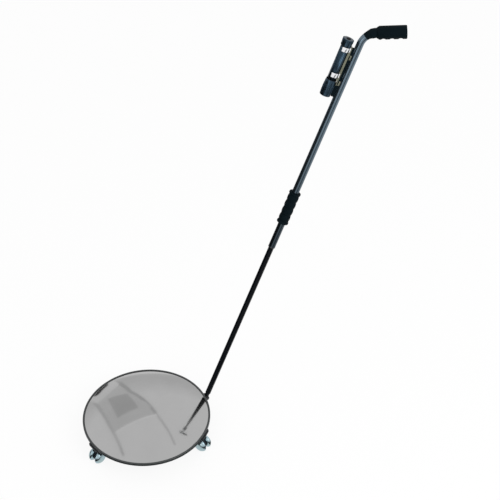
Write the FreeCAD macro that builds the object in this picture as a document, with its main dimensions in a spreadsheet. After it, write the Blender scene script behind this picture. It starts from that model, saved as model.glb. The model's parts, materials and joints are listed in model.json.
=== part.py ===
import FreeCAD, Part
import math
import operator
import os
from types import SimpleNamespace

import Sketcher
from FreeCAD import Vector

# Under-vehicle inspection mirror: a round convex mirror on three twin-wheel ball
# casters, with a telescopic pole hinged at its rim and a torch clipped to the pole.
#
# Frame: +Z up, +X from the mirror's centre towards the pole, and the origin at the
# centre of the base hub's flat underside. Lengths are millimetres, angles degrees.

SIZES = {
    # base spider: a turned hub pad and three flat arms, each with a caster near its end
    "hub_radius": 42.0,
    "hub_pad": 1.0,
    "arm_thickness": 4.0,
    "arm_overhang": 4.5,
    "arm_width": 40.0,
    "arm_waist": 26.0,
    "arm_shoulder_setback": 23.0,
    "arm_corner": 8.0,
    "arm_turn": -48.0,
    "arm_count": 3,
    "relief_inset": 5.3,
    "relief_depth": 1.5,
    # back plate, mirror and the edge trim that clasps both
    "mirror_radius": 149.3,
    "plate_thickness": 3.0,
    "mirror_thickness": 2.0,
    "mirror_curvature": 332.0,
    "flange_width": 2.8,
    "flange_thickness": 1.5,
    "trim_wall": 1.7,
    "trim_lip": 2.6,
    "trim_lip_thickness": 1.0,
    "trim_gap_angle": 0.5,
    "trim_gap_azimuth": 14.0,
    # countersunk screws that hold the spider and the tilt bracket to the back plate
    "screw_radius": 2.0,
    "screw_head_radius": 3.9,
    "screw_sink": 0.2,
    "hub_screw_circle": 30.0,
    "arm_screw_circle": 95.0,
    "fit_play": 0.05,
    # tilt joint at the rim: the pin lies just clear of the edge trim
    "bracket_width": 20.0,
    "bracket_start": 50.0,
    "bracket_drop": 2.0,
    "bracket_screw_start": 60.0,
    "bracket_screw_pitch": 26.0,
    "bracket_screw_count": 3,
    "pin_height": -0.5,
    "pole_lean": 23.3,
    "pole_twist": -30.0,
    "ear_radius": 5.6,
    "ear_thickness": 2.6,
    "tongue_thickness": 6.0,
    "tongue_radius": 5.2,
    "tongue_room": 0.6,
    "washer_thickness": 0.6,
    "side_play": 0.1,
    "bolt_radius": 2.5,
    "bolt_head_height": 2.2,
    "nut_height": 3.2,
    "hex_radius": 4.6,
    "bolt_spare": 0.6,
    # lower tube and its knuckle; places along the pole are measured from the tilt pin
    "lower_radius": 6.35,
    "lower_wall": 1.0,
    "neck_width": 8.0,
    "neck_room": 0.5,
    "collar_start": 13.0,
    "lower_start": 16.0,
    "lower_end": 535.0,
    "spigot_length": 24.0,
    "cross_pin_radius": 1.5,
    # twist lock inside the telescope
    "lock_plug_length": 20.0,
    "lock_flange": 2.0,
    "lock_screw_radius": 2.5,
    "lock_sleeve_start": 1.0,
    "lock_sleeve_length": 22.0,
    "lock_cone_radius": 5.2,
    "lock_cone_length": 9.0,
    "lock_cone_overlap": 4.0,
    "lock_cone_play": 0.3,
    "lock_slit": 0.8,
    "lock_slit_depth": 15.0,
    # upper tube, bent over into the handle
    "upper_radius": 8.0,
    "upper_wall": 1.0,
    "upper_start": 448.0,
    "bend_start": 968.2,
    "bend_radius": 38.1,
    "bend_turn": 67.1,
    "handle_tube": 58.5,
    "bushing_length": 20.0,
    "bushing_lip": 2.0,
    # rubber grips
    "mid_grip_start": 514.0,
    "mid_grip_lip": 6.0,
    "mid_grip_lip_radius": 13.35,
    "mid_grip_valley": 11.3,
    "mid_grip_barrels": 4,
    "mid_grip_pitch": 17.0,
    "mid_grip_bulge_radius": 26.0,
    "grip_round": 1.0,
    "handle_grip_radius": 14.5,
    "handle_grip_end": 4.0,
    "handle_round": 1.6,
    "handle_shoulder": 3.0,
    "handle_shoulder_length": 5.0,
    "cuff_radius": 10.6,
    "cuff_turn": 18.0,
    "finger_start": 13.0,
    "finger_pitch": 18.0,
    "finger_count": 3,
    "finger_tool_radius": 8.0,
    "finger_depth": 2.0,
    "finger_lift": 4.0,
    "plug_length": 12.0,
    "plug_lip": 1.5,
    # torch bracket: a bent strip screwed to the tube, with two spring clips riveted on
    "torch_offset": 26.5,
    "rail_offset": 12.2,
    "rail_thickness": 1.5,
    "rail_width": 10.0,
    "rail_overhang": 2.5,
    "leg_below_low_clip": 21.0,
    "leg_below_high_clip": 11.0,
    "foot_length": 9.0,
    "foot_depth": 3.0,
    "rail_screw_radius": 1.75,
    "rail_screw_head": 3.2,
    "rail_screw_head_height": 1.8,
    "driver_hole_radius": 3.6,
    "clip_low": 51.5,
    "clip_high": 112.5,
    "clip_width": 10.0,
    "clip_thickness": 1.0,
    "clip_mouth": 58.0,
    "clip_lip": 1.2,
    "clip_base_width": 8.0,
    "rivet_radius": 1.6,
    "rivet_head_radius": 2.8,
    "rivet_head_height": 0.8,
    # torch; places along it are measured from its front face
    "torch_start": 835.5,
    "barrel_radius": 10.25,
    "barrel_wall": 1.4,
    "thread_depth": 0.85,
    "head_radius": 12.0,
    "bezel_length": 3.0,
    "bezel_opening": 9.6,
    "lens_radius": 10.2,
    "lens_thickness": 2.0,
    "head_end": 38.0,
    "head_taper": 5.0,
    "reflector_depth": 15.0,
    "reflector_wall": 0.8,
    "reflector_throat": 3.2,
    "reflector_curve": 33.0,
    "led_module_length": 6.0,
    "module_seat": 2.0,
    "led_radius": 1.6,
    "barrel_start": 28.0,
    "cell_radius": 8.5,
    "cell_length": 33.6,
    "cell_nub_radius": 3.0,
    "cell_nub_length": 0.9,
    "cell_count": 2,
    "spring_wire": 0.5,
    "spring_radius": 5.0,
    "spring_turns": 4,
    "spring_length": 11.0,
    "tail_start": 119.0,
    "barrel_end": 125.5,
    "switch_radius": 8.4,
    "tail_end": 135.0,
    "tail_wall": 2.0,
    "tail_round": 1.2,
    "button_radius": 5.0,
    "button_play": 0.3,
    "button_proud": 2.0,
    "button_travel": 1.5,
    "button_flange": 7.0,
    "button_flange_thickness": 2.0,
    "seal_radius": 0.45,
    # twin-wheel ball casters
    "caster_inset": 14.3,
    "caster_height": 42.3,
    "caster_trail": 10.0,
    "wheel_radius": 17.25,
    "wheel_gap": 7.0,
    "wheel_width": 15.0,
    "wheel_shoulder": 5.2,
    "wheel_hub_radius": 11.5,
    "wheel_crown_radius": 3.5,
    "wheel_edge_curve": 7.5,
    "wheel_dome_curve": 15.25,
    "axle_radius": 2.5,
    "axle_cover": 1.5,
    "axle_end_play": 0.3,
    "horn_web": 6.2,
    "horn_radius": 11.0,
    "horn_block_radius": 8.5,
    "horn_block_height": 6.9,
    "horn_gap": 0.3,
    "socket_floor": 1.0,
    "kingpin_radius": 4.0,
    "kingpin_head_radius": 6.0,
    "kingpin_head_height": 2.0,
    "kingpin_room": 1.6,
    "bushing_radius": 5.5,
    "bushing_flange_radius": 8.0,
    "trail_right": -65.0,
    "trail_left": 206.0,
    "trail_rear": 118.0,
}

OPERATORS = {
    "+": operator.add,
    "-": operator.sub,
    "*": operator.mul,
    "/": operator.truediv,
}
WHOLE_TURN = 360.0
RIGHT_ANGLE = 90.0
HALF_TURN = 180.0
HEXAGON = 6


class Size:
    """A number together with the spreadsheet expression that gives it."""

    def __init__(self, value, text):
        self.value = float(value)
        self.text = text

    def __add__(self, other):
        return joined(self, "+", other)

    def __radd__(self, other):
        return joined(other, "+", self)

    def __sub__(self, other):
        return joined(self, "-", other)

    def __rsub__(self, other):
        return joined(other, "-", self)

    def __mul__(self, other):
        return joined(self, "*", other)

    def __rmul__(self, other):
        return joined(other, "*", self)

    def __truediv__(self, other):
        return joined(self, "/", other)

    def __rtruediv__(self, other):
        return joined(other, "/", self)

    def __neg__(self):
        return joined(0, "-", self)


def as_size(number):
    if isinstance(number, Size):
        return number
    return Size(number, f"{float(number):.6f}")


def joined(left, sign, right):
    left = as_size(left)
    right = as_size(right)
    return Size(OPERATORS[sign](left.value, right.value), f"({left.text} {sign} {right.text})")


def sine(angle):
    angle = as_size(angle)
    return Size(math.sin(math.radians(angle.value)), f"sin({angle.text} * 1 deg)")


def cosine(angle):
    angle = as_size(angle)
    return Size(math.cos(math.radians(angle.value)), f"cos({angle.text} * 1 deg)")


def root(number):
    number = as_size(number)
    return Size(math.sqrt(number.value), f"sqrt({number.text})")


doc = FreeCAD.newDocument("inspection_mirror")
sheet = doc.addObject("Spreadsheet::Sheet", "Sizes")
for row, (alias, number) in enumerate(SIZES.items(), start=1):
    sheet.set(f"A{row}", alias)
    sheet.set(f"B{row}", str(number))
    sheet.setAlias(f"B{row}", alias)
doc.recompute()
size = SimpleNamespace(**{alias: Size(number, f"Sizes.{alias}") for alias, number in SIZES.items()})

PARTS = []
Y_AXIS = (0, 1, 0)
Z_AXIS = (0, 0, 1)


# ---------------------------------------------------------------- building helpers

def bind(thing, name, number):
    """Set a property to a size and tie it to the sheet."""
    thing.setExpression(name, as_size(number).text)


def body(label):
    """A new sub-part, kept in the list of the parts that are written out."""
    new = doc.addObject("PartDesign::Body", label)
    new.Label = label
    PARTS.append(new)
    return new


def spin(axis, angle):
    """One turn about an axis, as the sheet writes it."""
    direction = "; ".join(str(number) for number in axis)
    return f"rotation(vector({direction}); {as_size(angle).text})"


def place(part, origin, axis=Z_AXIS, angle=0, then=()):
    """Tie a sub-part's Placement to the sheet: its origin, a turn, and any turns inside it."""
    x, y, z = (as_size(number).text for number in origin)
    turn = " * ".join([spin(axis, angle)] + [spin(inner, by) for inner, by in then])
    part.setExpression("Placement", f"placement(vector({x}; {y}; {z}); {turn})")


def origin_feature(part, role):
    return next(item for item in part.Origin.OriginFeatures if item.Role == role)


def sketch_on(part, plane, x=0, y=0, z=0):
    """A sketch on one of the body's origin planes, shifted within or off that plane."""
    sketch = part.newObject("Sketcher::SketchObject", part.Label + "_sketch")
    sketch.AttachmentSupport = [(origin_feature(part, plane), "")]
    sketch.MapMode = "FlatFace"
    for letter, number in (("x", x), ("y", y), ("z", z)):
        if isinstance(number, Size) or number:
            bind(sketch, "AttachmentOffset.Base." + letter, number)
    return sketch


def fix(sketch, kind, number, *where):
    """Add one dimension to a sketch and tie it to the sheet."""
    number = as_size(number)
    index = sketch.addConstraint(Sketcher.Constraint(kind, *where, number.value))
    if "Sizes" in number.text:
        sketch.setExpression(f"Constraints[{index}]", number.text)


def circle(sketch, radius, x=0, y=0):
    radius = as_size(radius)
    x = as_size(x)
    y = as_size(y)
    shape = Part.Circle(Vector(x.value, y.value, 0), Vector(0, 0, 1), radius.value)
    index = sketch.addGeometry(shape)
    fix(sketch, "Radius", radius, index)
    fix(sketch, "DistanceX", x, -1, 1, index, 3)
    fix(sketch, "DistanceY", y, -1, 1, index, 3)


def arc_between(start, end, radius):
    """The short arc from start to end: a positive radius runs anticlockwise."""
    chord = end - start
    rise = math.sqrt(max(radius * radius - chord.Length * chord.Length / 4, 0))
    side = Vector(-chord.y, chord.x, 0).normalize()
    centre = (start + end) / 2 + side * math.copysign(rise, radius)
    first, last = (start, end) if radius > 0 else (end, start)
    angles = [math.atan2(point.y - centre.y, point.x - centre.x) for point in (first, last)]
    if angles[1] < angles[0]:
        angles[1] += 2 * math.pi
    return Part.ArcOfCircle(Part.Circle(centre, Vector(0, 0, 1), abs(radius)), *angles)


def outline(sketch, points, closed=True):
    """Join points by lines; a point's third number makes the run up to it an arc."""
    places = [(as_size(point[0]), as_size(point[1])) for point in points]
    spots = [Vector(x.value, y.value, 0) for x, y in places]
    ends = []
    for number, point in enumerate(points):
        if number == 0 and not closed:
            continue
        start = spots[number - 1]
        end = spots[number]
        if len(point) == 3:
            radius = as_size(point[2])
            index = sketch.addGeometry(arc_between(start, end, radius.value))
            forward = radius.value > 0
            fix(sketch, "Radius", radius if forward else -radius, index)
            ends.append((index, 1, 2) if forward else (index, 2, 1))
        else:
            index = sketch.addGeometry(Part.LineSegment(start, end))
            ends.append((index, 1, 2))
        fix(sketch, "DistanceX", places[number][0], -1, 1, index, ends[-1][2])
        fix(sketch, "DistanceY", places[number][1], -1, 1, index, ends[-1][2])
    for before, after in zip(ends, ends[1:] + ends[:1] if closed else ends[1:]):
        sketch.addConstraint(Sketcher.Constraint("Coincident", before[0], before[2], after[0], after[1]))
    if not closed:
        index, start_end, _ = ends[0]
        fix(sketch, "DistanceX", places[0][0], -1, 1, index, start_end)
        fix(sketch, "DistanceY", places[0][1], -1, 1, index, start_end)


def rectangle(sketch, low_x, low_y, high_x, high_y):
    outline(sketch, [(low_x, low_y), (high_x, low_y), (high_x, high_y), (low_x, high_y)])


def pad(part, sketch, length, middle=False, backwards=False):
    feature = part.newObject("PartDesign::Pad", part.Label + "_pad")
    feature.Profile = sketch
    bind(feature, "Length", length)
    feature.SideType = "Symmetric" if middle else "One side"
    feature.Reversed = backwards
    return feature


def revolve(part, sketch, angle=WHOLE_TURN, axis="V_Axis"):
    feature = part.newObject("PartDesign::Revolution", part.Label + "_turned")
    feature.Profile = sketch
    feature.ReferenceAxis = (sketch, [axis])
    bind(feature, "Angle", angle)
    return feature


def checked_cut(part, feature):
    """Recompute a cutting feature and make sure that it took material away."""
    before = feature.BaseFeature.Shape.Volume
    doc.recompute()
    if feature.Shape.Volume >= before:
        raise ValueError(f"{feature.Label} cuts nothing from {part.Label}")
    return feature


def pocket(part, sketch, length=None, middle=False, backwards=False):
    """Cut a sketch out of the body: to a length, or through everything."""
    feature = part.newObject("PartDesign::Pocket", part.Label + "_pocket")
    feature.Profile = sketch
    feature.SideType = "Symmetric" if middle else "One side"
    feature.Reversed = backwards
    if length is None:
        feature.Type = "ThroughAll"
    else:
        bind(feature, "Length", length)
    return checked_cut(part, feature)


def groove(part, sketch, axis="V_Axis"):
    feature = part.newObject("PartDesign::Groove", part.Label + "_groove")
    feature.Profile = sketch
    feature.ReferenceAxis = (sketch, [axis])
    feature.Angle = WHOLE_TURN
    return checked_cut(part, feature)


def around(part, features, count, axis="Z_Axis"):
    """Repeat features evenly around one of the body's axes."""
    pattern = part.newObject("PartDesign::PolarPattern", part.Label + "_around")
    pattern.Originals = features
    pattern.Axis = (origin_feature(part, axis), [""])
    pattern.Angle = WHOLE_TURN
    bind(pattern, "Occurrences", count)
    part.Tip = pattern
    return pattern


def along(part, features, axis, pitch, count):
    """Repeat features in a row along one of the body's axes."""
    pattern = part.newObject("PartDesign::LinearPattern", part.Label + "_row")
    pattern.Originals = features
    pattern.Direction = (origin_feature(part, axis), [""])
    bind(pattern, "Length", pitch * (count - 1))
    bind(pattern, "Occurrences", count)
    part.Tip = pattern
    return pattern


def turned(label, points, origin, axis=Z_AXIS, angle=0):
    """A round piece: a closed profile of (radius, height) turned about the Z axis."""
    part = body(label)
    sketch = sketch_on(part, "XZ_Plane")
    outline(sketch, points)
    revolve(part, sketch)
    place(part, origin, axis, angle)
    return part


# ---------------------------------------------------------------- shared heights and places

ARM_TOP = size.hub_pad + size.arm_thickness
PLATE_TOP = ARM_TOP + size.plate_thickness
FLANGE_TOP = PLATE_TOP + size.flange_thickness
TRIM_TOP = FLANGE_TOP + size.trim_lip_thickness
TRIM_BOTTOM = ARM_TOP - size.trim_lip_thickness
TRIM_RADIUS = size.mirror_radius + size.trim_wall
DOME_RADIUS = size.mirror_radius - size.flange_width
ARM_REACH = size.mirror_radius + size.arm_overhang
RELIEF_RADIUS = size.mirror_radius - size.relief_inset
CASTER_CIRCLE = size.mirror_radius - size.caster_inset
ARM_SHOULDER = CASTER_CIRCLE - size.arm_shoulder_setback
PIN_REACH = TRIM_RADIUS + size.neck_width / 2 + size.neck_room
EAR_INNER = size.tongue_thickness / 2 + size.side_play + size.washer_thickness
EAR_OUTER = EAR_INNER + size.ear_thickness
SCREW_HOLE = size.screw_radius + size.fit_play
BOLT_HOLE = size.bolt_radius + size.fit_play
LOWER_BORE = size.lower_radius - size.lower_wall
UPPER_BORE = size.upper_radius - size.upper_wall
CLIP_LOW = size.torch_start + size.clip_low
CLIP_HIGH = size.torch_start + size.clip_high
LEG_LOW = CLIP_LOW - size.leg_below_low_clip
LEG_HIGH = CLIP_HIGH - size.leg_below_high_clip
RAIL_SCREWS = (
    LEG_LOW + size.rail_thickness + size.foot_length / 2,
    LEG_HIGH - size.foot_length / 2,
)
ORIGIN = (0, 0, 0)
HEAD = (ORIGIN, Z_AXIS, size.arm_turn)


def on_pole(distance, outward=0, aside=0):
    """A point from its distance up the pole, and how far it is off the axis each way."""
    x = PIN_REACH + distance * cosine(RIGHT_ANGLE - size.pole_lean)
    z = size.pin_height + distance * cosine(size.pole_lean)
    x = x + outward * cosine(size.pole_lean)
    z = z - outward * sine(size.pole_lean)
    return (x, aside, z)


# ---------------------------------------------------------------- head: base, mirror and trim

def screw_holes(part, low, circle_radius, tip):
    """Countersunk holes for a ring of screws that come up from below."""
    sketch = sketch_on(part, "XZ_Plane", x=circle_radius)
    outline(sketch, screw_hole_profile(low, tip))
    return groove(part, sketch)


def screw_profile(low, tip):
    """Half of a countersunk screw, head down and sunk a little below the surface."""
    face = low + size.screw_sink
    return [
        (0, face),
        (size.screw_head_radius, face),
        (size.screw_radius, face + size.screw_head_radius - size.screw_radius),
        (size.screw_radius, tip),
        (0, tip),
    ]


def screw_hole_profile(low, tip):
    """Half of the countersunk hole that such a screw sits in."""
    face = low + size.screw_sink
    mouth = size.screw_head_radius + size.fit_play
    return [
        (0, low),
        (mouth, low),
        (mouth, face),
        (SCREW_HOLE, face + size.screw_head_radius - size.screw_radius),
        (SCREW_HOLE, tip),
        (0, tip),
    ]


def make_base_spider():
    part = body("base_spider")
    hub = sketch_on(part, "XY_Plane")
    circle(hub, size.hub_radius)
    pad(part, hub, ARM_TOP)
    half = size.arm_width / 2
    waist = size.arm_waist / 2
    corner = size.arm_corner
    arm = sketch_on(part, "XY_Plane", z=size.hub_pad)
    outline(arm, [
        (0, -waist),
        (size.hub_radius, -waist),
        (ARM_SHOULDER, -half),
        (ARM_REACH - corner, -half),
        (ARM_REACH, corner - half, corner),
        (ARM_REACH, half - corner),
        (ARM_REACH - corner, half, corner),
        (ARM_SHOULDER, half),
        (size.hub_radius, waist),
        (0, waist),
    ])
    one_arm = pad(part, arm, size.arm_thickness)
    doc.recompute()
    around(part, [one_arm], size.arm_count)
    doc.recompute()
    relief = sketch_on(part, "XZ_Plane")
    rectangle(relief, RELIEF_RADIUS, ARM_TOP - size.relief_depth,
              ARM_REACH + size.arm_corner, ARM_TOP + size.relief_depth)
    groove(part, relief)
    seat = sketch_on(part, "XY_Plane")
    circle(seat, size.bushing_radius, x=CASTER_CIRCLE)
    caster_hole = pocket(part, seat, backwards=True)
    around(part, [caster_hole], size.arm_count)
    doc.recompute()
    hub_hole = screw_holes(part, 0, size.hub_screw_circle, PLATE_TOP)
    around(part, [hub_hole], size.arm_count)
    doc.recompute()
    arm_hole = screw_holes(part, size.hub_pad, size.arm_screw_circle, PLATE_TOP)
    around(part, [arm_hole], size.arm_count)
    place(part, *HEAD)


def make_back_plate():
    """A steel disc behind the mirror: drilled for the screws and the kingpins."""
    part = body("back_plate")
    disc = sketch_on(part, "XY_Plane", z=ARM_TOP)
    circle(disc, size.mirror_radius)
    pad(part, disc, size.plate_thickness)
    holes = (
        (size.kingpin_head_radius + size.kingpin_room, CASTER_CIRCLE),
        (SCREW_HOLE, size.hub_screw_circle),
        (SCREW_HOLE, size.arm_screw_circle),
    )
    for radius, distance in holes:
        drill = sketch_on(part, "XY_Plane", z=ARM_TOP)
        circle(drill, radius, x=distance)
        doc.recompute()
        hole = pocket(part, drill, backwards=True)
        around(part, [hole], size.arm_count)
        doc.recompute()
    row = sketch_on(part, "XY_Plane", z=ARM_TOP)
    turn = -size.arm_turn
    for number in range(int(SIZES["bracket_screw_count"])):
        distance = size.bracket_screw_start + number * size.bracket_screw_pitch
        circle(row, SCREW_HOLE, x=distance * cosine(turn), y=distance * sine(turn))
    pocket(part, row, backwards=True)
    place(part, *HEAD)


def make_convex_mirror():
    """A thin dome with a narrow flat flange, resting on the back plate."""
    outer = size.mirror_curvature
    inner = outer - size.mirror_thickness
    centre = FLANGE_TOP - root(outer * outer - DOME_RADIUS * DOME_RADIUS)
    inner_radius = root(inner * inner - (PLATE_TOP - centre) * (PLATE_TOP - centre))
    turned("convex_mirror", [
        (size.mirror_radius, PLATE_TOP),
        (size.mirror_radius, FLANGE_TOP),
        (DOME_RADIUS, FLANGE_TOP),
        (0, centre + outer, outer),
        (0, centre + inner),
        (inner_radius, PLATE_TOP, -inner),
    ], ORIGIN)


def make_rim_trim():
    """A U-shaped edge strip whose two ends stop short of each other."""
    part = body("rim_trim")
    lip = size.mirror_radius - size.trim_lip
    soft = size.trim_lip_thickness
    section = sketch_on(part, "XZ_Plane")
    outline(section, [
        (lip, TRIM_BOTTOM),
        (TRIM_RADIUS - soft, TRIM_BOTTOM),
        (TRIM_RADIUS, TRIM_BOTTOM + soft, soft),
        (TRIM_RADIUS, TRIM_TOP - soft),
        (TRIM_RADIUS - soft, TRIM_TOP, soft),
        (lip, TRIM_TOP),
        (lip, FLANGE_TOP),
        (size.mirror_radius, FLANGE_TOP),
        (size.mirror_radius, ARM_TOP),
        (lip, ARM_TOP),
    ])
    revolve(part, section, WHOLE_TURN - size.trim_gap_angle)
    place(part, ORIGIN, Z_AXIS, size.trim_gap_azimuth - size.trim_gap_angle / 2)


def make_spider_screws():
    part = body("spider_screws")
    for low, distance in ((0, size.hub_screw_circle), (size.hub_pad, size.arm_screw_circle)):
        sketch = sketch_on(part, "XZ_Plane", x=distance)
        outline(sketch, screw_profile(low, PLATE_TOP))
        screw = revolve(part, sketch)
        doc.recompute()
        around(part, [screw], size.arm_count)
        doc.recompute()
    place(part, *HEAD)


# ---------------------------------------------------------------- head: tilt bracket

def make_tilt_bracket():
    """A strap under the back plate that ends outside the rim in a clevis."""
    part = body("tilt_bracket")
    low = -size.bracket_drop + size.hub_pad
    stop = PIN_REACH - size.tongue_radius - size.tongue_room
    strap = sketch_on(part, "XZ_Plane")
    outline(strap, [
        (size.bracket_start, low),
        (stop, low),
        (stop, ARM_TOP - size.relief_depth),
        (RELIEF_RADIUS, ARM_TOP - size.relief_depth),
        (RELIEF_RADIUS, ARM_TOP),
        (size.bracket_start, ARM_TOP),
    ])
    pad(part, strap, size.bracket_width, middle=True)
    doc.recompute()
    radius = size.ear_radius
    tail = RELIEF_RADIUS
    ear = sketch_on(part, "XZ_Plane")
    reach = root(radius * radius - (size.pin_height - low) * (size.pin_height - low))
    rise = ARM_TOP - size.relief_depth - size.pin_height
    top_reach = root(radius * radius - rise * rise)
    outline(ear, [
        (tail, low),
        (PIN_REACH - reach, low),
        (PIN_REACH, size.pin_height - radius, radius),
        (PIN_REACH + radius, size.pin_height, radius),
        (PIN_REACH, size.pin_height + radius, radius),
        (PIN_REACH - top_reach, ARM_TOP - size.relief_depth, radius),
        (tail, ARM_TOP - size.relief_depth),
    ])
    pad(part, ear, 2 * EAR_OUTER, middle=True)
    doc.recompute()
    slot = sketch_on(part, "XY_Plane")
    rectangle(slot, stop, -EAR_INNER, PIN_REACH + 2 * radius, EAR_INNER)
    pocket(part, slot, 4 * radius, middle=True)
    bore = sketch_on(part, "XZ_Plane")
    circle(bore, BOLT_HOLE, x=PIN_REACH, y=size.pin_height)
    pocket(part, bore, 4 * EAR_OUTER, middle=True)
    sketch = sketch_on(part, "XZ_Plane", x=size.bracket_screw_start)
    outline(sketch, screw_hole_profile(low, PLATE_TOP))
    hole = groove(part, sketch)
    along(part, [hole], "X_Axis", size.bracket_screw_pitch, size.bracket_screw_count)
    place(part, ORIGIN)


def make_bracket_screws():
    part = body("bracket_screws")
    low = -size.bracket_drop + size.hub_pad
    sketch = sketch_on(part, "XZ_Plane", x=size.bracket_screw_start)
    outline(sketch, screw_profile(low, PLATE_TOP))
    screw = revolve(part, sketch)
    doc.recompute()
    along(part, [screw], "X_Axis", size.bracket_screw_pitch, size.bracket_screw_count)
    place(part, ORIGIN)


def hexagon(sketch, radius):
    step = WHOLE_TURN / HEXAGON
    points = [(radius * cosine(step * turn), radius * sine(step * turn)) for turn in range(HEXAGON)]
    outline(sketch, points)


def make_tilt_bolt():
    """Hexagon head against one ear, shank along Y through the tongue to the nut."""
    part = body("tilt_bolt")
    head = sketch_on(part, "XZ_Plane", z=EAR_OUTER)
    hexagon(head, size.hex_radius)
    pad(part, head, size.bolt_head_height)
    shank = sketch_on(part, "XZ_Plane", z=EAR_OUTER)
    circle(shank, size.bolt_radius)
    pad(part, shank, 2 * EAR_OUTER + size.nut_height + size.bolt_spare, backwards=True)
    place(part, (PIN_REACH, 0, size.pin_height))


def make_tilt_nut():
    part = body("tilt_nut")
    sketch = sketch_on(part, "XZ_Plane", z=-EAR_OUTER)
    hexagon(sketch, size.hex_radius)
    circle(sketch, BOLT_HOLE)
    pad(part, sketch, size.nut_height, backwards=True)
    place(part, (PIN_REACH, 0, size.pin_height))


def make_tilt_washers():
    """A friction washer against the inner face of each ear."""
    part = body("tilt_washers")
    for side in (-1, 1):
        sketch = sketch_on(part, "XZ_Plane", z=side * EAR_INNER)
        circle(sketch, size.tongue_radius)
        circle(sketch, BOLT_HOLE)
        pad(part, sketch, size.washer_thickness, backwards=side > 0)
        doc.recompute()
    place(part, (PIN_REACH, 0, size.pin_height))


def make_caster_bushings():
    """Flanged swivel bushings in the arms' ends."""
    part = body("caster_bushings")
    bore = size.kingpin_radius + size.fit_play
    sketch = sketch_on(part, "XZ_Plane", x=CASTER_CIRCLE)
    outline(sketch, [
        (bore, 0),
        (size.bushing_flange_radius, 0),
        (size.bushing_flange_radius, size.hub_pad),
        (size.bushing_radius, size.hub_pad),
        (size.bushing_radius, ARM_TOP),
        (bore, ARM_TOP),
    ])
    bushing = revolve(part, sketch)
    doc.recompute()
    around(part, [bushing], size.arm_count)
    place(part, *HEAD)


# ---------------------------------------------------------------- lower pole and twist lock

def pole_piece(part, distance=0, outward=0, turn=0):
    """Set a piece on the pole: its Z axis up the pole, its X axis away from the mirror."""
    place(part, on_pole(distance, outward), Y_AXIS, size.pole_lean + turn)


def make_pole_knuckle():
    """The tilt tongue with a round spigot that plugs into the lower tube."""
    part = body("pole_knuckle")
    radius = size.tongue_radius
    half = size.neck_width / 2
    drop = root(radius * radius - half * half)
    tongue = sketch_on(part, "XZ_Plane")
    outline(tongue, [
        (-half, size.collar_start),
        (-half, -drop),
        (0, -radius, radius),
        (half, -drop, radius),
        (half, size.collar_start),
    ])
    pad(part, tongue, size.tongue_thickness, middle=True)
    doc.recompute()
    disc = sketch_on(part, "XZ_Plane")
    circle(disc, radius)
    pad(part, disc, size.tongue_thickness, middle=True)
    spigot_radius = LOWER_BORE - size.fit_play
    shoulder = sketch_on(part, "XZ_Plane")
    outline(shoulder, [
        (0, size.collar_start),
        (size.lower_radius, size.collar_start),
        (size.lower_radius, size.lower_start),
        (spigot_radius, size.lower_start),
        (spigot_radius, size.lower_start + size.spigot_length),
        (0, size.lower_start + size.spigot_length),
    ])
    revolve(part, shoulder)
    doc.recompute()
    bore = sketch_on(part, "XZ_Plane")
    circle(bore, BOLT_HOLE)
    pocket(part, bore, 2 * size.tongue_thickness, middle=True)
    cross = sketch_on(part, "XZ_Plane")
    circle(cross, size.cross_pin_radius, y=size.lower_start + size.spigot_length / 2)
    pocket(part, cross, 4 * size.lower_radius, middle=True)
    pole_piece(part)


def make_knuckle_pin():
    part = body("knuckle_pin")
    sketch = sketch_on(part, "XZ_Plane")
    circle(sketch, size.cross_pin_radius, y=size.lower_start + size.spigot_length / 2)
    pad(part, sketch, 2 * size.lower_radius - 2 * size.side_play, middle=True)
    pole_piece(part)


def make_lower_tube():
    part = body("lower_tube")
    section = sketch_on(part, "XY_Plane", z=size.lower_start)
    circle(section, size.lower_radius)
    circle(section, LOWER_BORE)
    pad(part, section, size.lower_end - size.lower_start)
    doc.recompute()
    cross = sketch_on(part, "XZ_Plane")
    circle(cross, size.cross_pin_radius, y=size.lower_start + size.spigot_length / 2)
    pocket(part, cross, 4 * size.lower_radius, middle=True)
    pole_piece(part)


LOCK_BASE = size.lower_end + size.lock_flange
SLEEVE_START = LOCK_BASE + size.lock_sleeve_start
SLEEVE_END = SLEEVE_START + size.lock_sleeve_length
CONE_START = SLEEVE_END - size.lock_cone_overlap
CONE_SLOPE = (size.lock_cone_radius - size.lock_screw_radius) / size.lock_cone_length


def make_lock_screw():
    """A plug in the lower tube's end, with a screw whose cone spreads the sleeve."""
    plug_radius = LOWER_BORE - size.fit_play
    part = turned("lock_screw", [
        (0, size.lower_end - size.lock_plug_length),
        (plug_radius, size.lower_end - size.lock_plug_length),
        (plug_radius, size.lower_end),
        (size.lower_radius, size.lower_end),
        (size.lower_radius, LOCK_BASE),
        (size.lock_screw_radius, LOCK_BASE),
        (size.lock_screw_radius, CONE_START),
        (size.lock_cone_radius, CONE_START + size.lock_cone_length),
        (size.lock_cone_radius, CONE_START + size.lock_cone_length + size.lock_flange),
        (0, CONE_START + size.lock_cone_length + size.lock_flange),
    ], ORIGIN)
    pole_piece(part)


def make_lock_sleeve():
    """A slit sleeve on the screw: it turns with the upper tube and grips its bore."""
    bore = size.lock_screw_radius + size.fit_play
    mouth = size.lock_screw_radius + CONE_SLOPE * size.lock_cone_overlap + size.lock_cone_play
    outer = UPPER_BORE - size.fit_play
    slope_start = CONE_START - (size.lock_cone_play - size.fit_play) / CONE_SLOPE
    part = turned("lock_sleeve", [
        (bore, SLEEVE_START),
        (outer, SLEEVE_START),
        (outer, SLEEVE_END),
        (mouth, SLEEVE_END),
        (bore, slope_start),
    ], ORIGIN)
    doc.recompute()
    for plane in ("XZ_Plane", "YZ_Plane"):
        slit = sketch_on(part, plane)
        half = size.lock_slit / 2
        rectangle(slit, -half, SLEEVE_END - size.lock_slit_depth, half, SLEEVE_END + size.lock_slit)
        pocket(part, slit, 4 * outer, middle=True)
    pole_piece(part)


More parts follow.
